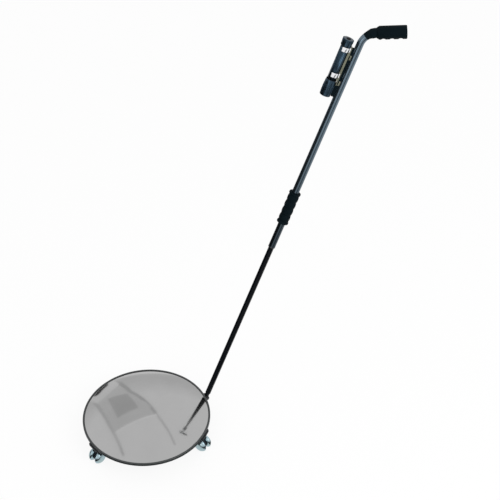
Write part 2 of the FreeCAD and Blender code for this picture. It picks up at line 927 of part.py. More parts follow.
# ---------------------------------------------------------------- upper pole and grips

def make_upper_tube():
    """One bent tube: straight up the pole, then over into the handle."""
    part = body("upper_tube")
    section = sketch_on(part, "XY_Plane")
    circle(section, size.upper_radius)
    circle(section, UPPER_BORE)
    straight = size.bend_start - size.upper_start
    radius = size.bend_radius
    turn = size.bend_turn
    end_x = radius - radius * cosine(turn)
    end_z = straight + radius * sine(turn)
    spine = sketch_on(part, "XZ_Plane")
    outline(spine, [
        (0, 0),
        (0, straight),
        (end_x, end_z, -radius),
        (end_x + size.handle_tube * sine(turn), end_z + size.handle_tube * cosine(turn)),
    ], closed=False)
    doc.recompute()
    pipe = part.newObject("PartDesign::AdditivePipe", "upper_tube_pipe")
    pipe.Profile = section
    pipe.Spine = (spine, [])
    doc.recompute()
    hole = sketch_on(part, "YZ_Plane")
    for height in RAIL_SCREWS:
        circle(hole, size.rail_screw_radius, y=height - size.upper_start)
    pocket(part, hole, 2 * size.upper_radius)
    upper_piece(part, size.upper_start)


def upper_piece(part, distance=0, outward=0, turn=0):
    """Set a piece on the upper pole, which stands twisted in the lower one."""
    origin = on_pole(distance, outward * cosine(size.pole_twist), outward * sine(size.pole_twist))
    place(part, origin, Y_AXIS, size.pole_lean, ((Z_AXIS, size.pole_twist), (Y_AXIS, turn)))


def handle_piece(part):
    """Set a piece on the handle: its origin at the end of the bend, Z along the handle."""
    turn = size.bend_turn
    distance = size.bend_start + size.bend_radius * sine(turn)
    outward = size.bend_radius - size.bend_radius * cosine(turn)
    upper_piece(part, distance, outward, turn)


def make_guide_bushing():
    """A plastic guide in the upper tube's mouth, with a lip against its end."""
    bore = size.lower_radius + size.fit_play
    part = turned("guide_bushing", [
        (bore, size.upper_start - size.bushing_lip),
        (size.upper_radius, size.upper_start - size.bushing_lip),
        (size.upper_radius, size.upper_start),
        (UPPER_BORE, size.upper_start),
        (UPPER_BORE, size.upper_start + size.bushing_length),
        (bore, size.upper_start + size.bushing_length),
    ], ORIGIN)
    upper_piece(part)


def make_mid_grip():
    """A rubber sleeve of barrel-shaped ribs between two flared lips."""
    lip = size.mid_grip_lip
    soft = size.grip_round
    flare = size.mid_grip_lip_radius
    barrels = int(SIZES["mid_grip_barrels"])
    total = 2 * lip + barrels * size.mid_grip_pitch
    points = [
        (size.upper_radius, 0),
        (flare - soft, 0),
        (flare, soft, soft),
        (flare, lip / 2),
        (size.mid_grip_valley, lip),
    ]
    for number in range(1, barrels + 1):
        height = lip + number * size.mid_grip_pitch
        points.append((size.mid_grip_valley, height, size.mid_grip_bulge_radius))
    points += [
        (flare, total - lip / 2),
        (flare, total - soft),
        (flare - soft, total, soft),
        (size.upper_radius, total),
    ]
    part = turned("mid_grip", points, ORIGIN)
    upper_piece(part, size.mid_grip_start)


def bend_ring(part, kind, label, radius):
    """A length of ring that follows the end of the tube's bend."""
    new = part.newObject(kind, label)
    bind(new, "Radius1", size.bend_radius)
    bind(new, "Radius2", radius)
    bind(new, "Angle3", size.cuff_turn)
    new.AttachmentSupport = [(origin_feature(part, "XZ_Plane"), "")]
    new.MapMode = "FlatFace"
    new.AttachmentOffset = FreeCAD.Placement(Vector(), FreeCAD.Rotation(Vector(*Z_AXIS), HALF_TURN))
    bind(new, "AttachmentOffset.Base.x", size.bend_radius)
    part.Tip = new
    doc.recompute()
    return new


def make_handle_grip():
    """A rubber cup over the handle, a cuff onto the bend, and finger grooves underneath."""
    radius = size.handle_grip_radius
    soft = size.handle_round
    end = size.handle_tube + size.handle_grip_end
    plug = size.handle_tube + size.plug_lip
    part = turned("handle_grip", [
        (size.upper_radius, 0),
        (radius - size.handle_shoulder, 0),
        (radius, size.handle_shoulder_length),
        (radius, end - soft),
        (radius - soft, end, soft),
        (0, end),
        (0, plug),
        (size.upper_radius, plug),
    ], ORIGIN)
    doc.recompute()
    reach = radius - size.finger_depth + size.finger_tool_radius + size.finger_lift
    finger = part.newObject("PartDesign::SubtractiveTorus", "handle_grip_finger")
    bind(finger, "Radius1", reach)
    bind(finger, "Radius2", size.finger_tool_radius)
    finger.AttachmentSupport = [(origin_feature(part, "XY_Plane"), "")]
    finger.MapMode = "FlatFace"
    bind(finger, "AttachmentOffset.Base.x", -size.finger_lift)
    bind(finger, "AttachmentOffset.Base.z", size.finger_start)
    checked_cut(part, finger)
    along(part, [finger], "Z_Axis", size.finger_pitch, size.finger_count)
    doc.recompute()
    bend_ring(part, "PartDesign::AdditiveTorus", "handle_grip_cuff", size.cuff_radius)
    checked_cut(part, bend_ring(part, "PartDesign::SubtractiveTorus", "handle_grip_bore", size.upper_radius))
    handle_piece(part)


def make_handle_plug():
    """A plastic plug that closes the tube's end inside the grip."""
    plug_radius = UPPER_BORE - size.fit_play
    part = turned("handle_plug", [
        (0, size.handle_tube - size.plug_length),
        (plug_radius, size.handle_tube - size.plug_length),
        (plug_radius, size.handle_tube),
        (size.upper_radius, size.handle_tube),
        (size.upper_radius, size.handle_tube + size.plug_lip),
        (0, size.handle_tube + size.plug_lip),
    ], ORIGIN)
    handle_piece(part)


# ---------------------------------------------------------------- torch bracket

def make_torch_rail():
    """A bent strip beside the tube: two legs, each with a foot saddled to the tube."""
    part = body("torch_rail")
    near = -size.rail_offset
    far = near - size.rail_thickness
    foot = -size.upper_radius - size.rail_thickness
    toe = foot + size.foot_depth
    low = LEG_LOW
    high = LEG_HIGH
    start = low - size.rail_thickness
    end = CLIP_HIGH + size.clip_width / 2 + size.rail_overhang
    wall = size.rail_thickness
    profile = sketch_on(part, "XZ_Plane")
    outline(profile, [
        (far, start),
        (near, start),
        (near, low),
        (toe, low),
        (toe, low + wall + size.foot_length),
        (foot, low + wall + size.foot_length),
        (foot, low + wall),
        (near, low + wall),
        (near, high),
        (foot, high),
        (foot, high - size.foot_length),
        (toe, high - size.foot_length),
        (toe, high + wall),
        (near, high + wall),
        (near, end),
        (far, end),
    ])
    pad(part, profile, size.rail_width, middle=True)
    doc.recompute()
    saddle = sketch_on(part, "XY_Plane")
    circle(saddle, size.upper_radius)
    pocket(part, saddle, backwards=True)
    drill = sketch_on(part, "YZ_Plane")
    for height in RAIL_SCREWS:
        circle(drill, size.rail_screw_radius, y=height)
    pocket(part, drill, backwards=False)
    access = sketch_on(part, "YZ_Plane", z=near + size.rail_thickness)
    for height in RAIL_SCREWS:
        circle(access, size.driver_hole_radius, y=height)
    pocket(part, access, 4 * size.rail_thickness)
    rivets = sketch_on(part, "YZ_Plane", z=near + size.rail_thickness)
    for height in (CLIP_LOW, CLIP_HIGH):
        circle(rivets, size.rivet_radius, y=height)
    pocket(part, rivets, 4 * size.rail_thickness)
    upper_piece(part)


def cross_turned(part, height, points):
    """Turn a profile of (radius, distance from the pole's axis) about a cross axis."""
    sketch = sketch_on(part, "XZ_Plane", y=height)
    outline(sketch, [(-distance, radius) for radius, distance in points])
    piece = revolve(part, sketch, axis="H_Axis")
    doc.recompute()
    return piece


def make_rail_screws():
    """Round-headed screws through the feet into the tube's wall."""
    part = body("rail_screws")
    seat = size.upper_radius + size.rail_thickness
    for height in RAIL_SCREWS:
        cross_turned(part, height, [
            (0, UPPER_BORE),
            (size.rail_screw_radius, UPPER_BORE),
            (size.rail_screw_radius, seat),
            (size.rail_screw_head, seat),
            (size.rail_screw_head - size.rail_screw_head_height / 2, seat + size.rail_screw_head_height),
            (0, seat + size.rail_screw_head_height),
        ])
    upper_piece(part)


CLIP_INNER = size.barrel_radius + size.fit_play
CLIP_OUTER = CLIP_INNER + size.clip_thickness
RAIL_FACE = size.rail_offset + size.rail_thickness
CLIP_BACK = size.torch_offset - CLIP_INNER - size.clip_thickness / 2


def make_torch_clip(label, height):
    """A spring clip: most of a ring round the torch, flared lips, and a folded base."""
    part = body(label)
    mouth = size.clip_mouth
    lip = size.clip_lip
    wall = size.clip_thickness
    inner_x = -CLIP_INNER * cosine(mouth)
    inner_y = CLIP_INNER * sine(mouth)
    outer_x = -CLIP_OUTER * cosine(mouth)
    outer_y = CLIP_OUTER * sine(mouth)
    tip_x = outer_x - lip * cosine(mouth)
    tip_y = outer_y + lip * sine(mouth)
    sketch = sketch_on(part, "XY_Plane")
    outline(sketch, [
        (inner_x, -inner_y),
        (0, -CLIP_INNER, CLIP_INNER),
        (CLIP_INNER, 0, CLIP_INNER),
        (0, CLIP_INNER, CLIP_INNER),
        (inner_x, inner_y, CLIP_INNER),
        (tip_x, tip_y),
        (tip_x + wall * sine(mouth), tip_y + wall * cosine(mouth)),
        (outer_x + wall * sine(mouth), outer_y + wall * cosine(mouth)),
        (0, CLIP_OUTER, -CLIP_OUTER),
        (CLIP_OUTER, 0, -CLIP_OUTER),
        (0, -CLIP_OUTER, -CLIP_OUTER),
        (outer_x + wall * sine(mouth), -outer_y - wall * cosine(mouth)),
        (tip_x + wall * sine(mouth), -tip_y - wall * cosine(mouth)),
        (tip_x, -tip_y),
    ])
    pad(part, sketch, size.clip_width, middle=True)
    doc.recompute()
    base = sketch_on(part, "XY_Plane")
    half = size.clip_base_width / 2
    rectangle(base, size.torch_offset - CLIP_BACK, -half, size.torch_offset - RAIL_FACE, half)
    pad(part, base, size.clip_width, middle=True)
    doc.recompute()
    cut = sketch_on(part, "XY_Plane")
    circle(cut, CLIP_INNER)
    pocket(part, cut, 2 * size.clip_width, middle=True)
    drill = sketch_on(part, "YZ_Plane")
    circle(drill, size.rivet_radius)
    pocket(part, drill, backwards=True)
    upper_piece(part, height, -size.torch_offset)


def make_clip_rivets():
    part = body("clip_rivets")
    for height in (CLIP_LOW, CLIP_HIGH):
        cross_turned(part, height, [
            (0, size.rail_offset - size.rivet_head_height),
            (size.rivet_head_radius, size.rail_offset - size.rivet_head_height),
            (size.rivet_head_radius, size.rail_offset),
            (size.rivet_radius, size.rail_offset),
            (size.rivet_radius, CLIP_BACK),
            (0, CLIP_BACK),
        ])
    upper_piece(part)


# ---------------------------------------------------------------- torch

BARREL_BORE = size.barrel_radius - size.barrel_wall
THREAD_RADIUS = size.barrel_radius - size.thread_depth
LENS_START = size.bezel_length
REFLECTOR_START = LENS_START + size.lens_thickness
REFLECTOR_END = REFLECTOR_START + size.reflector_depth
MODULE_END = REFLECTOR_END + size.led_module_length
CELLS_START = size.barrel_start
CELLS_END = CELLS_START + size.cell_count * (size.cell_length + size.cell_nub_length)
SWITCH_START = CELLS_END + size.spring_length
TAIL_FACE = size.tail_end - size.tail_wall
BUTTON_TOP = TAIL_FACE - size.side_play
BUTTON_BASE = BUTTON_TOP - size.button_flange_thickness
SWITCH_END = BUTTON_BASE - size.button_travel - size.button_play


def torch_piece(part):
    """Set a piece in the torch: Z from its front face back along its axis."""
    upper_piece(part, size.torch_start, -size.torch_offset)


def torch_turned(label, points):
    part = turned(label, points, ORIGIN)
    torch_piece(part)
    return part


def make_torch_front():
    """Bezel, lens, reflector and the lamp's module, in the head that holds them."""
    radius = size.head_radius
    soft = size.tail_round
    torch_turned("torch_bezel", [
        (size.bezel_opening, 0),
        (radius - soft, 0),
        (radius, soft, soft),
        (radius, size.bezel_length),
        (size.bezel_opening, size.bezel_length),
    ])
    torch_turned("torch_lens", [
        (0, LENS_START),
        (size.lens_radius, LENS_START),
        (size.lens_radius, REFLECTOR_START),
        (0, REFLECTOR_START),
    ])
    wall = size.reflector_wall
    throat = size.reflector_throat
    rim = size.lens_radius
    bowl = size.reflector_curve
    torch_turned("torch_reflector", [
        (rim - wall, REFLECTOR_START, bowl),
        (rim, REFLECTOR_START),
        (rim, REFLECTOR_START + 2 * wall),
        (throat + wall, REFLECTOR_END, -bowl),
        (throat, REFLECTOR_END),
    ])
    module = BARREL_BORE - size.fit_play
    torch_turned("torch_led_module", [
        (0, REFLECTOR_END - size.led_radius),
        (size.led_radius, REFLECTOR_END, size.led_radius),
        (module, REFLECTOR_END),
        (module, MODULE_END),
        (0, MODULE_END),
    ])
    cavity = size.lens_radius + size.fit_play
    torch_turned("torch_head", [
        (cavity, size.bezel_length),
        (radius, size.bezel_length),
        (radius, size.head_end - size.head_taper),
        (size.barrel_radius + size.thread_depth, size.head_end),
        (THREAD_RADIUS, size.head_end),
        (THREAD_RADIUS, REFLECTOR_END + size.module_seat),
        (module, REFLECTOR_END + size.module_seat),
        (module, REFLECTOR_END),
        (cavity, REFLECTOR_END - size.reflector_wall),
    ])


def make_torch_barrel():
    """The barrel: thinner where it screws into the head and into the tail cap."""
    torch_turned("torch_barrel", [
        (BARREL_BORE, CELLS_START),
        (THREAD_RADIUS, CELLS_START),
        (THREAD_RADIUS, size.head_end),
        (size.barrel_radius, size.head_end),
        (size.barrel_radius, size.tail_start),
        (THREAD_RADIUS, size.tail_start),
        (THREAD_RADIUS, size.barrel_end),
        (BARREL_BORE, size.barrel_end),
    ])


def make_torch_batteries():
    """Cells end to end, each with its contact nub towards the lamp."""
    part = body("torch_batteries")
    step = size.cell_length + size.cell_nub_length
    sketch = sketch_on(part, "XZ_Plane", y=CELLS_START)
    outline(sketch, [
        (0, 0),
        (size.cell_nub_radius, 0),
        (size.cell_nub_radius, size.cell_nub_length),
        (size.cell_radius, size.cell_nub_length),
        (size.cell_radius, step - size.fit_play),
        (0, step - size.fit_play),
    ])
    cell = revolve(part, sketch)
    doc.recompute()
    along(part, [cell], "Z_Axis", step, size.cell_count)
    torch_piece(part)


def make_torch_spring():
    """The contact spring between the last cell and the switch."""
    part = doc.addObject("Part::Feature", "torch_spring")
    part.Label = "torch_spring"
    PARTS.append(part)
    wire = SIZES["spring_wire"]
    height = SIZES["spring_length"] - 2 * wire
    helix = Part.makeHelix(height / SIZES["spring_turns"], height, SIZES["spring_radius"])
    start = Vector(SIZES["spring_radius"], 0, 0)
    profile = Part.Wire(Part.makeCircle(wire, start, Vector(0, 1, 0)))
    part.Shape = Part.Wire(helix.Edges).makePipeShell([profile], True, True)
    upper_piece(part, size.torch_start + CELLS_END + size.spring_wire, -size.torch_offset)


def make_torch_tail():
    """Tail cap, its switch and the rubber button that comes out of its end."""
    radius = size.head_radius
    soft = size.tail_round
    hole = size.button_radius + size.button_play
    chamber = size.button_flange + size.button_play
    torch_turned("torch_tailcap", [
        (THREAD_RADIUS, size.tail_start),
        (radius - soft, size.tail_start),
        (radius, size.tail_start + soft, soft),
        (radius, size.tail_end - soft),
        (radius - soft, size.tail_end, soft),
        (hole, size.tail_end),
        (hole, TAIL_FACE),
        (chamber, TAIL_FACE),
        (chamber, SWITCH_END),
        (size.switch_radius, SWITCH_END),
        (size.switch_radius, size.barrel_end),
        (THREAD_RADIUS, size.barrel_end),
    ])
    torch_turned("torch_switch", [
        (0, SWITCH_START),
        (size.switch_radius, SWITCH_START),
        (size.switch_radius, SWITCH_END),
        (0, SWITCH_END),
    ])
    button = size.button_radius
    dome = size.tail_end + size.button_proud
    torch_turned("torch_button", [
        (0, BUTTON_BASE),
        (size.button_flange, BUTTON_BASE),
        (size.button_flange, BUTTON_TOP),
        (button, BUTTON_TOP),
        (button, dome - 2 * size.tail_round),
        (button - size.tail_round, dome - size.tail_round / 2, 2 * size.tail_round),
        (0, dome),
    ])


def make_torch_seals():
    """O-rings where the head and the tail cap close on the barrel."""
    part = body("torch_seals")
    for height in (size.head_end + size.seal_radius, size.tail_start - size.seal_radius):
        sketch = sketch_on(part, "XZ_Plane")
        circle(sketch, size.seal_radius, x=size.barrel_radius + size.seal_radius, y=height)
        revolve(part, sketch)
        doc.recompute()
    torch_piece(part)


# ---------------------------------------------------------------- casters

AXLE_HEIGHT = size.wheel_radius - size.caster_height
WHEEL_INNER = size.wheel_gap / 2
WHEEL_OUTER = WHEEL_INNER + size.wheel_width
AXLE_END = WHEEL_OUTER - size.axle_cover - size.axle_end_play


def make_caster(name, azimuth, trail):
    """Horn, kingpin, axle and the two domed wheels; X points along the caster's trail."""
    origin = (CASTER_CIRCLE * cosine(azimuth), CASTER_CIRCLE * sine(azimuth), 0)
    top = -size.horn_gap
    base = top - size.horn_block_height
    web = size.horn_radius

    horn = body(name + "_horn")
    block = sketch_on(horn, "XY_Plane", z=top)
    circle(block, size.horn_block_radius)
    pad(horn, block, size.horn_block_height, backwards=True)
    doc.recompute()
    plate = sketch_on(horn, "XZ_Plane")
    outline(plate, [
        (-size.horn_block_radius, base + size.horn_gap),
        (-size.horn_block_radius, base - size.horn_gap),
        (size.caster_trail - web, AXLE_HEIGHT),
        (size.caster_trail, AXLE_HEIGHT - web, web),
        (size.caster_trail + web, AXLE_HEIGHT, web),
        (size.horn_block_radius, base + size.horn_gap),
    ])
    pad(horn, plate, size.horn_web, middle=True)
    doc.recompute()
    bore = sketch_on(horn, "XZ_Plane")
    circle(bore, size.axle_radius, x=size.caster_trail, y=AXLE_HEIGHT)
    pocket(horn, bore, 2 * size.horn_web, middle=True)
    socket = sketch_on(horn, "XY_Plane", z=top)
    circle(socket, size.kingpin_radius)
    pocket(horn, socket, size.horn_block_height - size.socket_floor)
    place(horn, origin, Z_AXIS, trail)

    head = size.kingpin_head_radius
    rest = ARM_TOP + size.horn_gap
    kingpin = turned(name + "_kingpin", [
        (0, base + size.socket_floor),
        (size.kingpin_radius, base + size.socket_floor),
        (size.kingpin_radius, rest),
        (head, rest),
        (head, rest + size.kingpin_head_height / 2),
        (head - size.kingpin_head_height / 2, rest + size.kingpin_head_height),
        (0, rest + size.kingpin_head_height),
    ], ORIGIN)
    place(kingpin, origin, Z_AXIS, trail)

    axle = body(name + "_axle")
    rod = sketch_on(axle, "XZ_Plane")
    circle(rod, size.axle_radius, x=size.caster_trail, y=AXLE_HEIGHT)
    pad(axle, rod, 2 * AXLE_END, middle=True)
    place(axle, origin, Z_AXIS, trail)

    for side, word in ((1, "left"), (-1, "right")):
        wheel = body(f"{name}_wheel_{word}")
        profile = sketch_on(wheel, "XY_Plane")
        bore_radius = size.axle_radius + size.fit_play
        outline(profile, wheel_profile(side, bore_radius))
        revolve(wheel, profile, axis="V_Axis")
        x = size.caster_trail * cosine(trail)
        y = size.caster_trail * sine(trail)
        place(wheel, (origin[0] + x, origin[1] + y, AXLE_HEIGHT), Z_AXIS, trail)


def wheel_profile(side, bore_radius):
    """Half of a domed wheel on one side of the caster: radius against axle distance."""
    shoulder = WHEEL_INNER + size.wheel_shoulder
    dome = size.wheel_radius
    points = [
        (bore_radius, side * WHEEL_INNER),
        (size.wheel_hub_radius, side * WHEEL_INNER),
        (dome, side * shoulder, side * size.wheel_edge_curve),
        (size.wheel_crown_radius, side * WHEEL_OUTER, side * size.wheel_dome_curve),
        (0, side * WHEEL_OUTER),
        (0, side * (WHEEL_OUTER - size.axle_cover)),
        (bore_radius, side * (WHEEL_OUTER - size.axle_cover)),
    ]
    return points


# ---------------------------------------------------------------- assembly

make_base_spider()
make_back_plate()
make_convex_mirror()
make_rim_trim()
make_spider_screws()
make_tilt_bracket()
make_bracket_screws()
make_tilt_bolt()
make_tilt_nut()
make_tilt_washers()
make_caster_bushings()
make_pole_knuckle()
make_knuckle_pin()
make_lower_tube()
make_lock_screw()
make_lock_sleeve()
make_upper_tube()
make_guide_bushing()
make_mid_grip()
make_handle_grip()
make_handle_plug()
make_torch_rail()
make_rail_screws()
make_torch_clip("torch_clip_lower", CLIP_LOW)
make_torch_clip("torch_clip_upper", CLIP_HIGH)
make_clip_rivets()
make_torch_front()
make_torch_barrel()
make_torch_batteries()
make_torch_spring()
make_torch_tail()
make_torch_seals()
step = WHOLE_TURN / size.arm_count
make_caster("caster_right", size.arm_turn, size.trail_right)
make_caster("caster_rear", size.arm_turn + step, size.trail_rear)
make_caster("caster_left", size.arm_turn + 2 * step, size.trail_left)
doc.recompute()

# ---------------------------------------------------------------- checks and export

for item in doc.Objects:
    if "Invalid" in item.State or "Error" in item.State:
        raise RuntimeError(f"{item.Label} did not build")
os.makedirs("parts", exist_ok=True)
for part in PARTS:
    shape = part.Shape
    if shape.isNull() or not shape.isValid() or not shape.Solids:
        raise RuntimeError(f"{part.Label} has no valid solid")
for part in PARTS:
    part.Shape.exportStep(f"parts/{part.Label}.step")
print(len(PARTS), "sub-parts written")
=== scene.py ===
import json
import math
from types import SimpleNamespace

import bmesh
import bpy
from mathutils import Matrix, Vector

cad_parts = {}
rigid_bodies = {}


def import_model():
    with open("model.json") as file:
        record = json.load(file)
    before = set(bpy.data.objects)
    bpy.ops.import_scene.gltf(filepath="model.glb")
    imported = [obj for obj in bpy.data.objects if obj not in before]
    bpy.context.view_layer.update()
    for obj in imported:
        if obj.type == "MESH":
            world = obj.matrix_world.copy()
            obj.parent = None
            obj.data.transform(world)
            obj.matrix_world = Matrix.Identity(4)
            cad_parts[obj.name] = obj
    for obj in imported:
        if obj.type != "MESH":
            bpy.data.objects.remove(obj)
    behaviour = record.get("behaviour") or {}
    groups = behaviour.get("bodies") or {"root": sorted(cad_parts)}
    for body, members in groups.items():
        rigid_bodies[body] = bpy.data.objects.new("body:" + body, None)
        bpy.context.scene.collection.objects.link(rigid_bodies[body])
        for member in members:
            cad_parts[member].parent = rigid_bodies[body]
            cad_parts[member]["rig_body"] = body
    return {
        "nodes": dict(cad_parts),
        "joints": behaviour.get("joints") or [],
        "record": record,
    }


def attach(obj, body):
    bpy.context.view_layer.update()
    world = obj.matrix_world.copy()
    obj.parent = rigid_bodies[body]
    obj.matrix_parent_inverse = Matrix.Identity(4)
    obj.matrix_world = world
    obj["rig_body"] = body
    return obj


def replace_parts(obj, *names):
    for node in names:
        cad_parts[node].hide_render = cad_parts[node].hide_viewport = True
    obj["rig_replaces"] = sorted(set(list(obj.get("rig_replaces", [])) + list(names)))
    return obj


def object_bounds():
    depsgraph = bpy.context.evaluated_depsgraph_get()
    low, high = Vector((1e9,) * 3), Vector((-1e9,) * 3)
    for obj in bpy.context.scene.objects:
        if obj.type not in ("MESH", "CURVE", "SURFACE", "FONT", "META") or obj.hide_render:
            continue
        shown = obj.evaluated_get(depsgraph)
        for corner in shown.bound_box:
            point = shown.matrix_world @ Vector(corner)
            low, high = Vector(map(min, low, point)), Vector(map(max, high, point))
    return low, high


# Under-vehicle inspection mirror: finishes, detailed pieces, studio and camera.
# Lengths are metres, and every piece lies where its CAD node lies.

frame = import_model()
cad_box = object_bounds()

JOINTS = {joint["name"]: joint for joint in frame["joints"]}
SLOTS = {row["node"]: row["material_slot"] for row in frame["record"]["subparts"]}
FLOOR = cad_box[0][2]
MILLIMETRE = 0.001
MERGE = 0.001 * MILLIMETRE
WHOLE_TURN = 2 * math.pi
WHITE = (1.0, 1.0, 1.0, 1.0)

# The pole starts at the pin and runs along UP, leaning out from the mirror. The torch's own
# axis starts at TORCH and runs the same way, on the side of the pole that TO_TORCH points to.
PIN = Vector(JOINTS["pole_tilt"]["pos_m"])
UP = Vector(JOINTS["pole_twist"]["axis"]).normalized()
SIDE = Vector((0, 1, 0))
OUT = SIDE.cross(UP)
LEAN = math.atan2(UP.x, UP.z)
TORCH = Vector(JOINTS["torch_turn"]["pos_m"])
TO_TORCH = (TORCH - PIN - UP * (TORCH - PIN).dot(UP)).normalized()
TOP = Vector((0, 0, 1))
CENTRE = Vector((0, 0, 0))


# ---------------------------------------------------------------- node graphs

class Value:
    """An output of a node. Arithmetic on it adds Math nodes to the same graph."""

    def __init__(self, graph, socket):
        self.graph = graph
        self.socket = socket

    def __add__(self, other):
        return self.graph.maths("ADD", self, other)

    def __radd__(self, other):
        return self.graph.maths("ADD", other, self)

    def __sub__(self, other):
        return self.graph.maths("SUBTRACT", self, other)

    def __rsub__(self, other):
        return self.graph.maths("SUBTRACT", other, self)

    def __mul__(self, other):
        return self.graph.maths("MULTIPLY", self, other)

    def __rmul__(self, other):
        return self.graph.maths("MULTIPLY", other, self)

    def __truediv__(self, other):
        return self.graph.maths("DIVIDE", self, other)

    def __rtruediv__(self, other):
        return self.graph.maths("DIVIDE", other, self)


class Graph:
    """A node tree that grows through add()."""

    def __init__(self, tree):
        self.tree = tree

    def add(self, kind, settings=None, inputs=None, output=0):
        """A node: its settings are made first, then each socket gets a value or a link."""
        node = self.tree.nodes.new(kind)
        for name, value in (settings or {}).items():
            setattr(node, name, value)
        for name, value in (inputs or {}).items():
            if isinstance(value, Value):
                self.tree.links.new(value.socket, node.inputs[name])
            else:
                node.inputs[name].default_value = value
        return Value(self, node.outputs[output]) if node.outputs else None

    def maths(self, operation, *terms):
        return self.add("ShaderNodeMath", {"operation": operation}, dict(enumerate(terms)))


class Finish(Graph):
    """A procedural material laid out in the piece's own coordinates."""

    def __init__(self, name, origin=CENTRE, turn=(0, 0, 0)):
        self.material = bpy.data.materials.new(name)
        self.material.use_nodes = True
        super().__init__(self.material.node_tree)
        self.tree.nodes.clear()
        object_place = self.add("ShaderNodeTexCoord", output="Object")
        self.place = self.add(
            "ShaderNodeMapping",
            {"vector_type": "TEXTURE"},
            {"Vector": object_place, "Location": origin, "Rotation": turn},
        )

    def noise(self, scale, detail=2, stretch=(1, 1, 1)):
        """Cloudy noise about a half, at a scale in waves to the metre."""
        sockets = {0: self.place, 1: stretch}
        where = self.add("ShaderNodeVectorMath", {"operation": "MULTIPLY"}, sockets)
        sockets = {"Vector": where, "Scale": scale, "Detail": detail}
        return self.add("ShaderNodeTexNoise", None, sockets, "Fac")

    def cells(self, scale):
        """Round cells, at a scale in cells to the metre: how far it is to the nearest middle."""
        sockets = {"Vector": self.place, "Scale": scale}
        return self.add("ShaderNodeTexVoronoi", None, sockets, "Distance")

    def height(self):
        """How high a point is along the finish's own Z."""
        return self.add("ShaderNodeSeparateXYZ", None, {"Vector": self.place}, "Z")

    def between(self, value, low, high, bottom=0.0, top=1.0):
        """A smooth step of a value, from bottom at low to top at high."""
        settings = {"interpolation_type": "SMOOTHSTEP"}
        sockets = {
            "Value": value,
            "From Min": low, "From Max": high,
            "To Min": bottom, "To Max": top,
        }
        return self.add("ShaderNodeMapRange", settings, sockets)

    def blend(self, factor, first, second):
        """A colour between two others, each three numbers or an output of a node."""
        first, second = (
            colour if isinstance(colour, Value) else (*colour, 1.0) for colour in (first, second)
        )
        # The node's colour sockets share their names with its others, so they go by number.
        sockets = {0: factor, 6: first, 7: second}
        mixed_colour = 2
        return self.add("ShaderNodeMix", {"data_type": "RGBA"}, sockets, mixed_colour)

    def bump(self, height, depth):
        """A bump that is a depth in millimetres high where its height goes from 0 to 1."""
        sockets = {"Height": height, "Distance": depth * MILLIMETRE, "Strength": 1.0}
        return self.add("ShaderNodeBump", None, sockets)

    def glow(self, colour):
        """Light of a colour, or of a brightness where white is 1."""
        return self.add("ShaderNodeEmission", None, {"Color": colour, "Strength": 1.0})

    def surface(self, **sockets):
        """The finished material, from sockets named with _ for each space."""
        named = {name.replace("_", " "): value for name, value in sockets.items()}
        return self.close(self.add("ShaderNodeBsdfPrincipled", None, named))

    def close(self, shader):
        self.add("ShaderNodeOutputMaterial", None, {"Surface": shader})
        return self.material


def pole_finish(name):
    """A finish whose own Z runs along the pole from the pin."""
    return Finish(name, PIN, (0, LEAN, 0))


# ---------------------------------------------------------------- finishes

# Painted shade: the upper tube's colour is scaled down up to the first of these heights above the
# pin, for the dark surroundings it reflects there, and less and less up to the second.
SHADED_HEIGHT = 0.45
LIT_HEIGHT = 0.78


def coated_steel(name, dark, light, roughness):
    """Baked powder coat: orange peel, uneven gloss and a little settled dust."""
    grey_dust = (0.09, 0.09, 0.085)
    finish = Finish(name)
    cloud = finish.noise(scale=26, detail=3)
    dust = finish.between(finish.noise(scale=210, detail=5), low=0.58, high=0.74)
    peel = finish.noise(scale=720)
    painted = finish.blend(cloud, dark, light)
    return finish.surface(
        Base_Color=finish.blend(dust * 0.35, painted, grey_dust),
        Roughness=roughness + cloud * 0.12 + dust * 0.2,
        Normal=finish.bump(peel, depth=0.05),
        Specular_IOR_Level=0.4,
    )


def drawn_tube(name, dark, light, metal, roughness, specular, streak=0.06, shaded_scale=1, lit_scale=1):
    """Anodised drawn tube: fine lines along the pole, with rubbed patches.

    Its colour is scaled by the first of its two colour scales at the sliding end and by the
    second higher up, which paints shade along the pole.
    """
    worn_light = [1.35 * part for part in light]
    finish = pole_finish(name)
    lines = finish.noise(scale=1500, stretch=(1, 1, 0.006))
    bands = finish.noise(scale=260, stretch=(1, 1, 0.02))
    patches = finish.noise(scale=38, detail=4, stretch=(1, 1, 0.35))
    rubbed = finish.between(patches, low=0.5, high=0.8)
    shade = finish.blend(bands * 0.6 + lines * 0.4, dark, light)
    worn = finish.blend(rubbed * 0.3, shade, worn_light)
    # Painted shade: the colour is scaled down towards the pin, where the tube reflects dark
    # surroundings, and up a little higher on.
    tone = finish.between(finish.height(), SHADED_HEIGHT, LIT_HEIGHT, shaded_scale, lit_scale)
    sockets = {"Vector": worn, "Scale": tone}
    return finish.surface(
        Base_Color=finish.add("ShaderNodeVectorMath", {"operation": "SCALE"}, sockets),
        Metallic=metal,
        Roughness=roughness + lines * streak + rubbed * 0.06,
        Normal=finish.bump(lines, depth=0.012),
        Specular_IOR_Level=specular,
    )


def moulded_rubber(name, dark, light, roughness, grain, depth, specular=0.06, on_pole=True):
    """Moulded rubber: a fine leathery stipple, dull where it is handled."""
    pale_bloom = (0.02, 0.026, 0.027)
    finish = pole_finish(name) if on_pole else Finish(name)
    stipple = finish.cells(grain)
    handled = finish.noise(scale=45, detail=4)
    bloom = finish.between(finish.noise(scale=160, detail=5), low=0.56, high=0.78)
    moulded = finish.blend(handled, dark, light)
    return finish.surface(
        Base_Color=finish.blend(bloom * 0.12, moulded, pale_bloom),
        Roughness=roughness + handled * 0.12,
        Normal=finish.bump(stipple, depth),
        Specular_IOR_Level=specular,
    )


